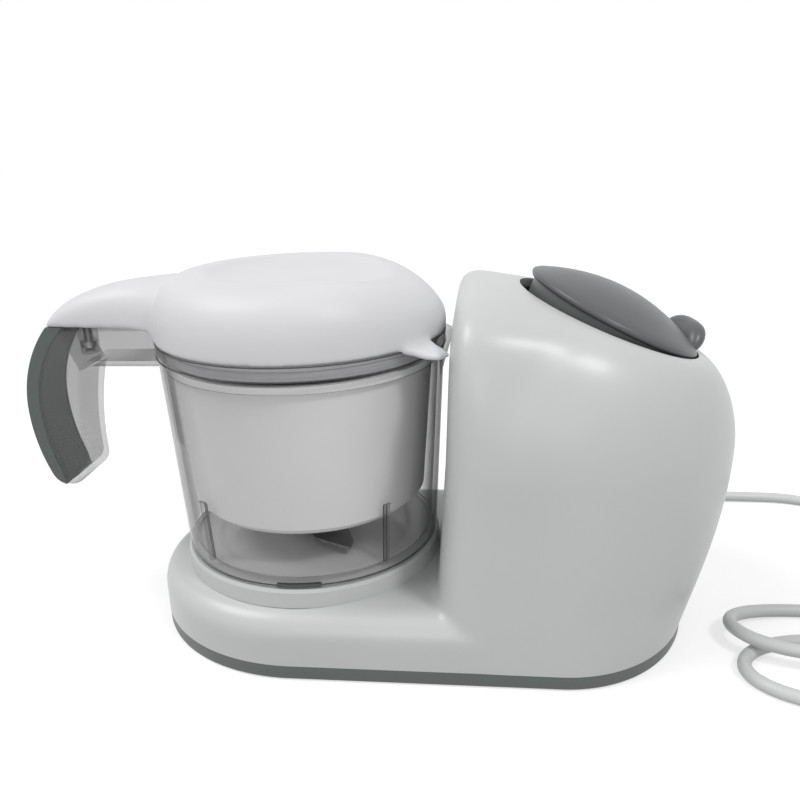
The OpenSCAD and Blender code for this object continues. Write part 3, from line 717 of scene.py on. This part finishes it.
# Dish and ceiling as (radius, depth under the lid's top)
DISH = [(46.0, 1.0), (43.5, 1.1), (41.0, 1.7), (38.0, 2.6), (34.0, 3.1), (20.0, 3.4), (NEAR_AXIS, 3.5)]
CEILING = [(44.0, 4.2), (36.0, 5.6), (NEAR_AXIS, 5.8)]
SKIRT_IN = 61.9
SKIRT_OUT = 63.9
SKIRT_LOW = 138.0
HOLLOW_LOW = 130.0
TONGUE = 122.0
TONGUE_HALF = 19.0
TONGUE_TAPER = 4.5
TAPER_FROM = 60.0
TONGUE_H = 21.5
FALL_FROM = 56.0
FALL_N = 2.3
FALL_ROUND = 1.9
TIP_H = 0.8
TONGUE_N = 3.0
TONGUE_STEPS = 32
TONGUE_STATIONS = [54, 57, 60, 63, 66, 69, 72, 76, 80, 84, 88, 91, 97, 102, 107, 111, 114.5, 117.2, 119.4,
                   121, TONGUE]
FLARE_X = 88.1
FLARE_R = 34.0
FLARE_STOP = 5.0
TAB_TURN = -32.0
TAB_EDGE = 0.6
# The tab's stations as (radius, half width, underside, top)
TAB_STATIONS = [(58, 13, 146.0, 150.0), (66, 11, 145.0, 148.8), (71, 8.6, 143.6, 147.4),
                (76, 7.0, 142.6, 146.2), (80, 5.6, 142.2, 145.4), (83.4, 3.4, 142.4, 144.8)]


def lid_profile(inset):
    """The lid's round shoulder from its side up to the flat, moved in by an inset."""
    rise = LID_TOP - LID_DROP - inset - LID_LOW
    reach = LID_R - inset - LID_FLAT
    power = 2 / LID_N
    line = []
    for i in range(LID_STEPS + 1):
        t = math.pi / 2 * (1 - i / LID_STEPS)
        line.append((LID_FLAT + reach * math.sin(t) ** power,
                     LID_LOW + rise * max(0.0, math.cos(t)) ** power))
    return line


def sagged(x, y, z):
    """A point of the lid, whose dome falls away on the side of the tower."""
    height = min(1.0, max(0.0, (z - LID_LOW) / (LID_TOP - LID_LOW)))
    return at(x, y, z - SAG * height * (max(0.0, x - SAG_X) / (LID_R - SAG_X)) ** 2)


def lid_dome():
    profile = [(LID_R, RIM_Z), (LID_R, RIM_Z + 2.0)] + lid_profile(0.0)
    profile += [(r, LID_TOP - depth) for r, depth in DISH]
    return revolve("dome", profile, place=sagged, closed=False)


def lid_hollow():
    """What the inside of the lid takes out of it."""
    profile = [(SKIRT_IN, HOLLOW_LOW), (SKIRT_IN, RIM_Z + 1.0), (LID_R - LID_WALL - 0.2, RIM_Z + 4.0)]
    profile += lid_profile(LID_WALL) + [(r, LID_TOP - depth) for r, depth in CEILING]
    return revolve("lid_tool", profile, place=sagged, closed=False)


def tongue_ring(reach):
    """Section of the tongue at a distance from the jug axis, flared at the lid and lower at its tip."""
    half = TONGUE_HALF - TONGUE_TAPER * max(0.0, (reach - TAPER_FROM) / (TONGUE - TAPER_FROM)) ** 2
    flare = min(FLARE_R - FLARE_STOP, max(0.0, FLARE_X - reach))
    half += FLARE_R - math.sqrt(FLARE_R ** 2 - flare ** 2)
    fall = max(0.0, reach - FALL_FROM) / (TONGUE - FALL_FROM)
    height = max(TIP_H, TONGUE_H * max(0.0, 1 - fall ** FALL_N) ** (1 / FALL_ROUND))
    power = 2 / TONGUE_N
    ring = []
    for i in range(TONGUE_STEPS + 1):
        t = math.pi * (1 - i / TONGUE_STEPS)
        ring.append((-reach, half * spower(math.cos(t), power), ARM_Z + height * math.sin(t) ** power))
    return ring


def lid_tab():
    rings = []
    for r, half, low, high in TAB_STATIONS:
        flat = half * 0.6
        edge = high - TAB_EDGE
        section = [(-half, low), (half, low), (half, edge), (flat, high), (-flat, high), (-half, edge)]
        rings.append(spun(TAB_TURN, [(r, aside, z) for aside, z in section]))
    return loft("tab", rings)


def make_lid():
    tongue = loft("tongue", [tongue_ring(reach) for reach in TONGUE_STATIONS])
    tab = lid_tab()
    weld(tongue)
    weld(tab)
    body = join("lid_body", lid_dome(), tongue, tab)
    melt(body, LID_VOXEL, LID_ROUNDS)
    cut(body, lid_hollow())
    skirt = revolve("skirt", [(SKIRT_IN, SKIRT_LOW), (SKIRT_OUT, SKIRT_LOW), (SKIRT_OUT, RIM_Z + 1.0),
                              (SKIRT_IN, RIM_Z + 1.5)])
    lid = join("lid_cover", body, skirt)
    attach(lid, "lid_body")
    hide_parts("lid")
    paint(lid, lid_white)


make_lid()

# Jug with its hollow handle
FLOOR_R = 63.0
JUG_Z = 41.2
JUG_FLOOR = 44.0
BORE_R = 7.0
TUBE_R = 9.0
TUBE_TOP = 55.0
TUBE_EDGE = 0.4
STAND_IN = 46.0
STAND_OUT = 49.2
STAND_LOW = 36.1
STAND_EDGE = 0.3
CORNER_R = 3.0
HEEL_R = 4.0
HEEL_IN = 6.6
WALL_TURN = 358.0
BAND_Z = 139.5
BAND_R = 68.6
BAND_ROUND = 0.6
RIM_IN = 65.4
RIM_EDGE = 0.4
LEDGE_Z = 133.0
LEDGE_IN = 63.2
LEDGE_OUT = 64.7
RIB_TURNS = (-133, -45, 45, 133)
RIB_IN = 58.4
RIB_TOP = 75.0
RIB_LEAN = 1.6
RIB_ROUND = 2.0
RIB_HALF = 0.9
LIP_ROOT = 66.0
LIP_REACH = 71.6
LIP_HALF = 13.0
LIP_TIP = 2.2
LATCH_FROM = -94.6
LATCH_TO = -76.1
LATCH_STEPS = 12
LATCH_SECTION = [(61.6, 41.9), (62.95, 41.9), (63.1, 43.6), (61.6, 43.6)]
WIRE = 0.2
LINE_IN = 0.25
LINE_OUT = 0.2
LINE_HALF = 0.25
HANDLE_W = 28.0
HANDLE_SIDE = 0.1
HANDLE_WALL = 2.4
HANDLE_ROUND = 2.0
WEB = [(-117.0, 146.6), (-109.0, 127.4), (-106.8, 128.4), (-114.8, 147.6)]
WEB_GAP = 2.2
BOSS_X = -108.0
BOSS_BORE = 2.3
BOSS_LOW = ARM_Z - 16.0
BOSS_TOP = ARM_Z - 2.4
ARC_C = (-74.0, 107.5)
ARC_R = 64.0
LOW_C = (-50.0, 107.5)
LOW_R = 88.0
GRIP_C = (37.0, 84.0)
GRIP_R = 150.0
END_R = 9.5
GAP_TOP = 130.0
GAP_ROUND = 7.0
HANDLE_ROOT = -67.0
GAP_ROOT = -66.4
COVER_T = 6.5
COVER_ROUND = 1.6
TIP_T = 5.6
TIP_TURN = 55.0
ARC_STEPS = 24


def end_centre():
    """Centre of the grip's round end, which touches the lower outer arc and the grip arc."""
    apart = math.dist(LOW_C, GRIP_C)
    u = ((GRIP_C[0] - LOW_C[0]) / apart, (GRIP_C[1] - LOW_C[1]) / apart)
    along = ((LOW_R - END_R) ** 2 - (GRIP_R + END_R) ** 2 + apart ** 2) / (2 * apart)
    aside = math.sqrt((LOW_R - END_R) ** 2 - along ** 2)
    return (LOW_C[0] + along * u[0] + aside * u[1], LOW_C[1] + along * u[1] - aside * u[0])


def angle_to(centre, point):
    return math.degrees(math.atan2(point[1] - centre[1], point[0] - centre[0])) % 360


def top_angle(radius):
    """Where an arc round the handle's upper centre meets the lid's tongue."""
    return 180 - math.degrees(math.asin((ARM_Z - ARC_C[1]) / radius))


END_C = end_centre()
ARC_END = angle_to(LOW_C, END_C)
GRIP_END = angle_to(GRIP_C, END_C)
FILLET_Z = GAP_TOP - GAP_ROUND
FILLET_C = (GRIP_C[0] - math.sqrt((GRIP_R - GAP_ROUND) ** 2 - (FILLET_Z - GRIP_C[1]) ** 2), FILLET_Z)


def outer_arc():
    upper = arc(ARC_C, ARC_R, top_angle(ARC_R), 180, ARC_STEPS)
    return upper + arc(LOW_C, LOW_R, 180, ARC_END, ARC_STEPS)[1:]


def handle_outline():
    """Side view of the handle, from the rim over the outer arc and round end to the finger gap."""
    fillet = angle_to(GRIP_C, FILLET_C)
    return ([(HANDLE_ROOT, ARM_Z)] + outer_arc()
            + arc(END_C, END_R, ARC_END, GRIP_END + 180, 28)[1:]
            + arc(GRIP_C, GRIP_R, GRIP_END, fillet, 20)[1:]
            + arc(FILLET_C, GAP_ROUND, fillet, 90, 10)[1:]
            + [(GAP_ROOT, GAP_TOP)])


def cover_outline():
    """Side view of the cover: the outer band of the handle, thinner toward its lower tip."""
    inner_low = []
    for i in range(ARC_STEPS + 1):
        f = 1 - i / ARC_STEPS
        t = math.radians(180 + (ARC_END - 180) * f)
        radius = LOW_R - COVER_T + (COVER_T - TIP_T) * f ** 2
        inner_low.append((LOW_C[0] + radius * math.cos(t), LOW_C[1] + radius * math.sin(t)))
    inner_r = ARC_R - COVER_T
    tip = arc(END_C, END_R, ARC_END, ARC_END + TIP_TURN, 10)
    return outer_arc() + tip[1:] + inner_low + arc(ARC_C, inner_r, 180, top_angle(inner_r), ARC_STEPS)[1:]


def jug_profile():
    """Section of the jug, from its bore under the floor, up the outside and down inside to the tube."""
    stand = [(STAND_IN, JUG_Z), (STAND_IN, STAND_LOW + STAND_EDGE), (STAND_IN + STAND_EDGE, STAND_LOW),
             (STAND_OUT - STAND_EDGE, STAND_LOW), (STAND_OUT, STAND_LOW + STAND_EDGE), (STAND_OUT, JUG_Z)]
    corner = arc((FLOOR_R - CORNER_R, JUG_Z + CORNER_R), CORNER_R, 270, WALL_TURN, 8)
    band = [(BAND_R - BAND_ROUND, BAND_Z), (BAND_R - 0.2, BAND_Z + 0.1), (BAND_R, BAND_Z + 0.5)]
    rim = [(BAND_R, RIM_Z - BAND_ROUND), (BAND_R - 0.2, RIM_Z - 0.2), (BAND_R - BAND_ROUND, RIM_Z),
           (RIM_IN + RIM_EDGE, RIM_Z), (RIM_IN, RIM_Z - RIM_EDGE)]
    ledge = [(RIM_IN, LEDGE_Z), (LEDGE_IN, LEDGE_Z), (LEDGE_IN, LEDGE_Z - 1.0), (LEDGE_OUT, LEDGE_Z - 4.0)]
    heel = arc((FLOOR_R - HEEL_IN, JUG_FLOOR + HEEL_R), HEEL_R, WALL_TURN, 270, 8)
    tube = [(TUBE_R, JUG_FLOOR), (TUBE_R, TUBE_TOP - TUBE_EDGE), (TUBE_R - TUBE_EDGE, TUBE_TOP),
            (BORE_R + TUBE_EDGE, TUBE_TOP), (BORE_R, TUBE_TOP - TUBE_EDGE)]
    return [(BORE_R, JUG_Z)] + stand + corner + band + rim + ledge + heel + tube


def bowl_tool():
    """What the jug's bowl and the lid take out of the handle."""
    wall = BAND_R - 0.4
    lid = LID_R + 0.6
    profile = [(NEAR_AXIS, 38.0), (FLOOR_R - 0.6, 38.0), (wall, BAND_Z), (wall, RIM_Z), (lid, RIM_Z),
               (lid, 160.0), (NEAR_AXIS, 160.0)]
    return revolve("bowl_tool", profile, FINE, closed=False)


def make_handle():
    half = HANDLE_W / 2
    handle = slab("handle", handle_outline(), half - HANDLE_SIDE)
    bevel(handle, HANDLE_ROUND)
    bake(handle)
    ceiling = ARM_Z - 2.5
    hollow = [(x - HANDLE_WALL, min(z + HANDLE_WALL, ceiling)) for x, z in handle_outline()]
    cut(handle, slab("handle_tool", hollow, half - HANDLE_WALL))
    cut(handle, bowl_tool())
    return handle


def at_boss(x, y, z):
    """A point given from the axis of the handle's screw boss."""
    return at(x + BOSS_X, y, z)


def make_boss():
    profile = [(BOSS_BORE, BOSS_LOW), (4.4, BOSS_LOW), (4.8, BOSS_TOP), (BOSS_BORE, BOSS_TOP)]
    return revolve("boss", profile, 48, at_boss)


def pour_lip():
    root = [(LIP_ROOT, y, z) for y in (-LIP_HALF, LIP_HALF) for z in (RIM_Z - 8.0, RIM_Z)]
    tip = [(LIP_REACH, y, z) for y in (-LIP_TIP, LIP_TIP) for z in (RIM_Z - 4.0, RIM_Z)]
    tail = [(LIP_ROOT, y, RIM_Z - 24.0) for y in (-1.0, 1.0)]
    return hull("lip", root + tip + tail)


def rib_edge():
    """Inner edge of a rib from its round top to the floor, as (radius, height)."""
    centre = (RIB_IN + RIB_LEAN + RIB_ROUND, RIB_TOP - RIB_ROUND)
    return arc(centre, RIB_ROUND, 90, 180, 6) + [(RIB_IN, JUG_FLOOR)]


def make_rib(turn):
    outline = [(FLOOR_R - 2.2, JUG_FLOOR), (FLOOR_R - 0.4, RIB_TOP)] + rib_edge()
    return loft("rib", [spun(turn, [(r, w, z) for r, z in outline]) for w in (RIB_HALF, -RIB_HALF)])


def shade_line_section(r, w, z):
    """Section of a thin dark line of painted shade along a moulded edge, as (radius, aside, height)."""
    near = (r - WIRE, z - WIRE / 2)
    far = (r + WIRE, z + WIRE / 2)
    corners = [(near, -WIRE), (far, -WIRE), (far, WIRE), (near, WIRE)]
    return [(radius, w + aside, height) for (radius, height), aside in corners]


def rib_shade_line(turn, w):
    """Thin dark line of painted shade along one edge of a rib."""
    path = [(FLOOR_R, RIB_TOP)] + rib_edge()
    return loft("rib_shade_line", [spun(turn, shade_line_section(r, w, z)) for r, z in path])


def shade_ring(r, z):
    """Thin dark line of painted shade round the jug."""
    low = z - LINE_HALF
    high = z + LINE_HALF
    section = [(r - LINE_IN, low), (r + LINE_OUT, low), (r + LINE_OUT, high), (r - LINE_IN, high)]
    return revolve("line", section, FINE)


def make_shade_lines():
    """Thin dark lines of painted shade at the band, rim and foot of the jug and along its ribs."""
    places = ((BAND_R - 0.05, BAND_Z), (BAND_R - 0.05, RIM_Z - 0.3), (FLOOR_R - 0.5, JUG_Z + 1.4))
    lines = [shade_ring(r, z) for r, z in places]
    lines += [rib_shade_line(turn, w) for turn in RIB_TURNS for w in (RIB_HALF, -RIB_HALF)]
    return join("painted_shade_lines", *lines)


def latch_slot():
    """Dark piece painting the shade of a shallow recess in the jug's foot, on the side that faces the user.
    """
    rings = []
    for i in range(LATCH_STEPS + 1):
        turn = LATCH_FROM + (LATCH_TO - LATCH_FROM) * i / LATCH_STEPS
        rings.append(spun(turn, [(r, 0.0, z) for r, z in LATCH_SECTION]))
    return loft("latch_slot", rings)


def zone_walls(jug):
    """Gives the jug's floor a pale veil of painted light and the inside of its wall a material of its own."""
    jug.data.materials.append(clear_floor_painted_light)
    jug.data.materials.append(clear_inner)
    axis = at(0, 0, 0)
    for poly in jug.data.polygons:
        x = poly.center.x - axis.x
        y = poly.center.y - axis.y
        away = math.hypot(x, y)
        # floor faces get the pale veil of painted light
        if poly.center.z < (JUG_FLOOR + 1) * MM and away < (FLOOR_R - 5) * MM:
            poly.material_index = 1
        elif poly.normal.x * x + poly.normal.y * y < -0.5 * away:
            poly.material_index = 2


def make_jug():
    jug = revolve("jug_clear", jug_profile(), FINE)
    grip = join("grip_clear", make_handle(), slab("web", WEB, HANDLE_W / 2 - WEB_GAP), make_boss())
    fins = join("jug_ribs", pour_lip(), *[make_rib(turn) for turn in RIB_TURNS])
    for piece, mat in ((jug, clear), (grip, clear_grip), (fins, clear_grip)):
        sharpen(piece)
        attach(piece, "jug_body")
        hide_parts("jug")
        paint(piece, mat)
    zone_walls(jug)


def make_cover():
    cover = slab("grip_cover", cover_outline(), HANDLE_W / 2)
    bevel(cover, COVER_ROUND)
    sharpen(cover)
    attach(cover, "jug_body")
    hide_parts("handle_cover")
    paint(cover, cover_gray)


def make_shade_marks():
    for piece in (make_shade_lines(), latch_slot()):
        sharpen(piece)
        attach(piece, "jug_body")
        # painted shade: the thin lines and the latch piece are near-black
        paint(piece, painted_shade_line)


make_jug()
make_cover()
make_shade_marks()

# Base plate with a soft lower edge, whose steps are given as (inset, height)
BASE_EDGE = [(4.0, 2.5), (3.8, 0.6), (1.0, 0.5), (0.4, 1.0), (0.2, 1.8), (0.2, PLATE_TOP)]
BASE_STEPS = 120


def base_ring(inset, z):
    """Outline of the base plate: an oval left end and a round back."""
    ring = []
    for i in range(BASE_STEPS):
        t = math.pi / 2 + math.pi * i / BASE_STEPS
        ring.append(((FOOT_LEFT - inset) * math.cos(t), (HALF_W - inset) * math.sin(t), z))
    for i in range(BASE_STEPS):
        t = -math.pi / 2 + math.pi * i / BASE_STEPS
        ring.append((TOWER_MID + (TOWER_BACK - inset) * math.cos(t), (HALF_W - inset) * math.sin(t), z))
    return ring


def make_base():
    plate = loft("rim_plate", [base_ring(inset, z) for inset, z in BASE_EDGE])
    sharpen(plate)
    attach(plate, "base")
    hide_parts("base_plate")
    paint(plate, rim_gray)


make_base()

# Tank cap: crowned disc, skirt and raised ear
CAP_R = 41.6
CAP_SHIFT = 1.3
CAP_LIFT = 3.9
CAP_LEAN = math.radians(5.0)
CAP_LOW = -2.5
CAP_SHARP = 50
# The disc's edge as (inset, height)
CAP_EDGE = [(1.6, CAP_LOW), (0.7, -2.2), (0.15, -1.4), (0.0, -0.5), (0.3, 0.3), (1.0, 0.8)]
CROWN = 11.0
CROWN_LOW = 0.6
CROWN_RADII = (39.4, 37.0, 33.0, 28.0, 22.0, 16.0, 10.0, 5.0, NEAR_AXIS)
CAP_SKIRT_R = 39.4
CAP_SKIRT_IN = 37.0
CAP_SKIRT_LOW = -10.0
CAP_SKIRT_STEPS = 128
EAR_MID = 14.0
EAR_HALF = 24.0
EAR_R = 40.5
EAR_LOW = 0.2
EAR_STEPS = 28
# The ear's section as (radius, height)
EAR_SECTION = [(34.4, 0.0), (42.0, 0.2), (44.6, 1.8), (45.6, 5.0), (45.3, 8.4), (43.8, 10.8), (41.4, 11.6),
               (38.8, 11.2), (36.4, 9.4), (34.8, 5.0)]


def leaned(u, v, n):
    """A point in the frame of the cap's disc."""
    return tilted(CAP_SHIFT + u * math.cos(CAP_LEAN) + n * math.sin(CAP_LEAN), v,
                  CAP_LIFT - u * math.sin(CAP_LEAN) + n * math.cos(CAP_LEAN))


def rounded(points):
    """A closed outline with each corner cut off at a quarter of its sides."""
    out = []
    for (r0, n0), (r1, n1) in zip(points, points[1:] + points[:1]):
        out.append((0.75 * r0 + 0.25 * r1, 0.75 * n0 + 0.25 * n1))
        out.append((0.25 * r0 + 0.75 * r1, 0.25 * n0 + 0.75 * n1))
    return out


def cap_disc():
    edge = [(CAP_R - inset, n) for inset, n in CAP_EDGE]
    crown = [(r, CROWN_LOW + (CROWN - CROWN_LOW) * (1 - (r / CAP_R) ** 2)) for r in CROWN_RADII]
    return revolve("disc", [(NEAR_AXIS, CAP_LOW)] + edge + crown, place=leaned, closed=False)


def skirt_ring(radius, low):
    """One edge of the skirt: level at the bottom, and along the leaning disc at the top."""
    ring = []
    for t in full_turn(CAP_SKIRT_STEPS):
        u = radius * math.cos(t)
        n = CAP_SKIRT_LOW if low else CAP_LIFT - 1.0 - u * math.tan(CAP_LEAN)
        ring.append((CAP_SHIFT + u, radius * math.sin(t), n))
    return ring


def cap_skirt():
    rings = [skirt_ring(CAP_SKIRT_R, True), skirt_ring(CAP_SKIRT_R, False), skirt_ring(CAP_SKIRT_IN, False),
             skirt_ring(CAP_SKIRT_IN, True)]
    skirt = loft("cap_skirt", rings + rings[:1], capped=False, place=tilted)
    weld(skirt)
    return skirt


def cap_ear():
    """Raised finger grip along part of the disc's edge, lower and thinner toward its ends."""
    section = rounded(rounded(EAR_SECTION))
    rings = []
    for j in range(EAR_STEPS + 1):
        s = -1 + 2 * j / EAR_STEPS
        k = max(0.02, 1 - abs(s) ** 3) ** 0.6
        ring = [(EAR_R + (r - EAR_R) * k, 0.0, EAR_LOW + n * k) for r, n in section]
        rings.append(spun(EAR_MID + EAR_HALF * s, ring))
    ear = loft("ear", rings, place=tilted)
    weld(ear)
    return ear


def make_cap():
    skirt = cap_skirt()
    cap = join("cap_cover", cap_disc(), cap_ear())
    sharpen(cap, CAP_SHARP)
    sharpen(skirt)
    for piece, mat in ((cap, gray_trim), (skirt, rim_gray)):
        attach(piece, "cap")
        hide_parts("tank_cap")
        paint(piece, mat)


make_cap()

# Floor, world and lamps
FILL = 0.48
FLOOR_LIFT = 0.61
FLOOR_GRAY = 0.5
FLOOR_HALF = 6.0


def background_rays(tree):
    """One where a camera, mirror or glass ray asks for the background."""
    path = tree.nodes.new("ShaderNodeLightPath")
    first = tree.nodes.new("ShaderNodeMath")
    first.operation = "MAXIMUM"
    second = tree.nodes.new("ShaderNodeMath")
    second.operation = "MAXIMUM"
    tree.links.new(path.outputs["Is Camera Ray"], first.inputs[0])
    tree.links.new(path.outputs["Is Glossy Ray"], first.inputs[1])
    tree.links.new(first.outputs[0], second.inputs[0])
    tree.links.new(path.outputs["Is Transmission Ray"], second.inputs[1])
    return second.outputs[0]


def make_floor():
    """A plain pale floor that keeps the shadow and is lifted toward white for the camera."""
    h = FLOOR_HALF
    mesh = mesh_from("floor", [(-h, -h, 0), (h, -h, 0), (h, h, 0), (-h, h, 0)], [(0, 1, 2, 3)])
    floor = add_object("floor", mesh)
    mat = bpy.data.materials.new("floor_white")
    mat.use_nodes = True
    tree = mat.node_tree
    tree.nodes.clear()
    out = tree.nodes.new("ShaderNodeOutputMaterial")
    diffuse = tree.nodes.new("ShaderNodeBsdfDiffuse")
    diffuse.inputs["Color"].default_value = (FLOOR_GRAY, FLOOR_GRAY, FLOOR_GRAY, 1.0)
    glow = tree.nodes.new("ShaderNodeEmission")
    lift = tree.nodes.new("ShaderNodeMath")
    lift.operation = "MULTIPLY"
    lift.inputs[1].default_value = FLOOR_LIFT
    tree.links.new(background_rays(tree), lift.inputs[0])
    tree.links.new(lift.outputs[0], glow.inputs["Strength"])
    both = tree.nodes.new("ShaderNodeAddShader")
    tree.links.new(diffuse.outputs[0], both.inputs[0])
    tree.links.new(glow.outputs[0], both.inputs[1])
    tree.links.new(both.outputs[0], out.inputs["Surface"])
    mesh.materials.append(mat)


def make_world():
    """White background with a weaker fill light."""
    world = bpy.data.worlds.new("world")
    scene.world = world
    world.use_nodes = True
    tree = world.node_tree
    sky = tree.nodes["Background"]
    mix = tree.nodes.new("ShaderNodeMapRange")
    mix.inputs["To Min"].default_value = FILL
    mix.inputs["To Max"].default_value = 1.0
    tree.links.new(background_rays(tree), mix.inputs["Value"])
    tree.links.new(mix.outputs["Result"], sky.inputs["Strength"])
    sky.inputs["Color"].default_value = (1.0, 1.0, 1.0, 1.0)


def lamp(name, spot, target, size, power):
    """A round lamp at a spot that faces a target, in metres."""
    data = bpy.data.lights.new(name, "AREA")
    data.shape = "DISK"
    data.size = size
    data.energy = power
    obj = bpy.data.objects.new(name, data)
    obj.location = spot
    aim = Vector(target) - Vector(spot)
    obj.rotation_euler = aim.to_track_quat("-Z", "Y").to_euler()
    scene.collection.objects.link(obj)


def sun(name, toward, spread, power):
    """Even light from a broad sky patch, given by the direction toward it."""
    data = bpy.data.lights.new(name, "SUN")
    data.angle = math.radians(spread)
    data.energy = power
    obj = bpy.data.objects.new(name, data)
    obj.rotation_euler = Vector(toward).to_track_quat("Z", "Y").to_euler()
    scene.collection.objects.link(obj)


make_floor()
make_world()
lamp("key", spot=(0.63, -0.58, 1.06), target=(0.09, -0.07, 0.15), size=0.22, power=4.4)
lamp("front", spot=(0.02, -0.95, 0.3), target=(0.0, 0.0, 0.08), size=0.4, power=0.8)
sun("sun", toward=(-0.7, -0.15, 1.0), spread=30, power=1.35)

scene.view_settings.view_transform = "Standard"
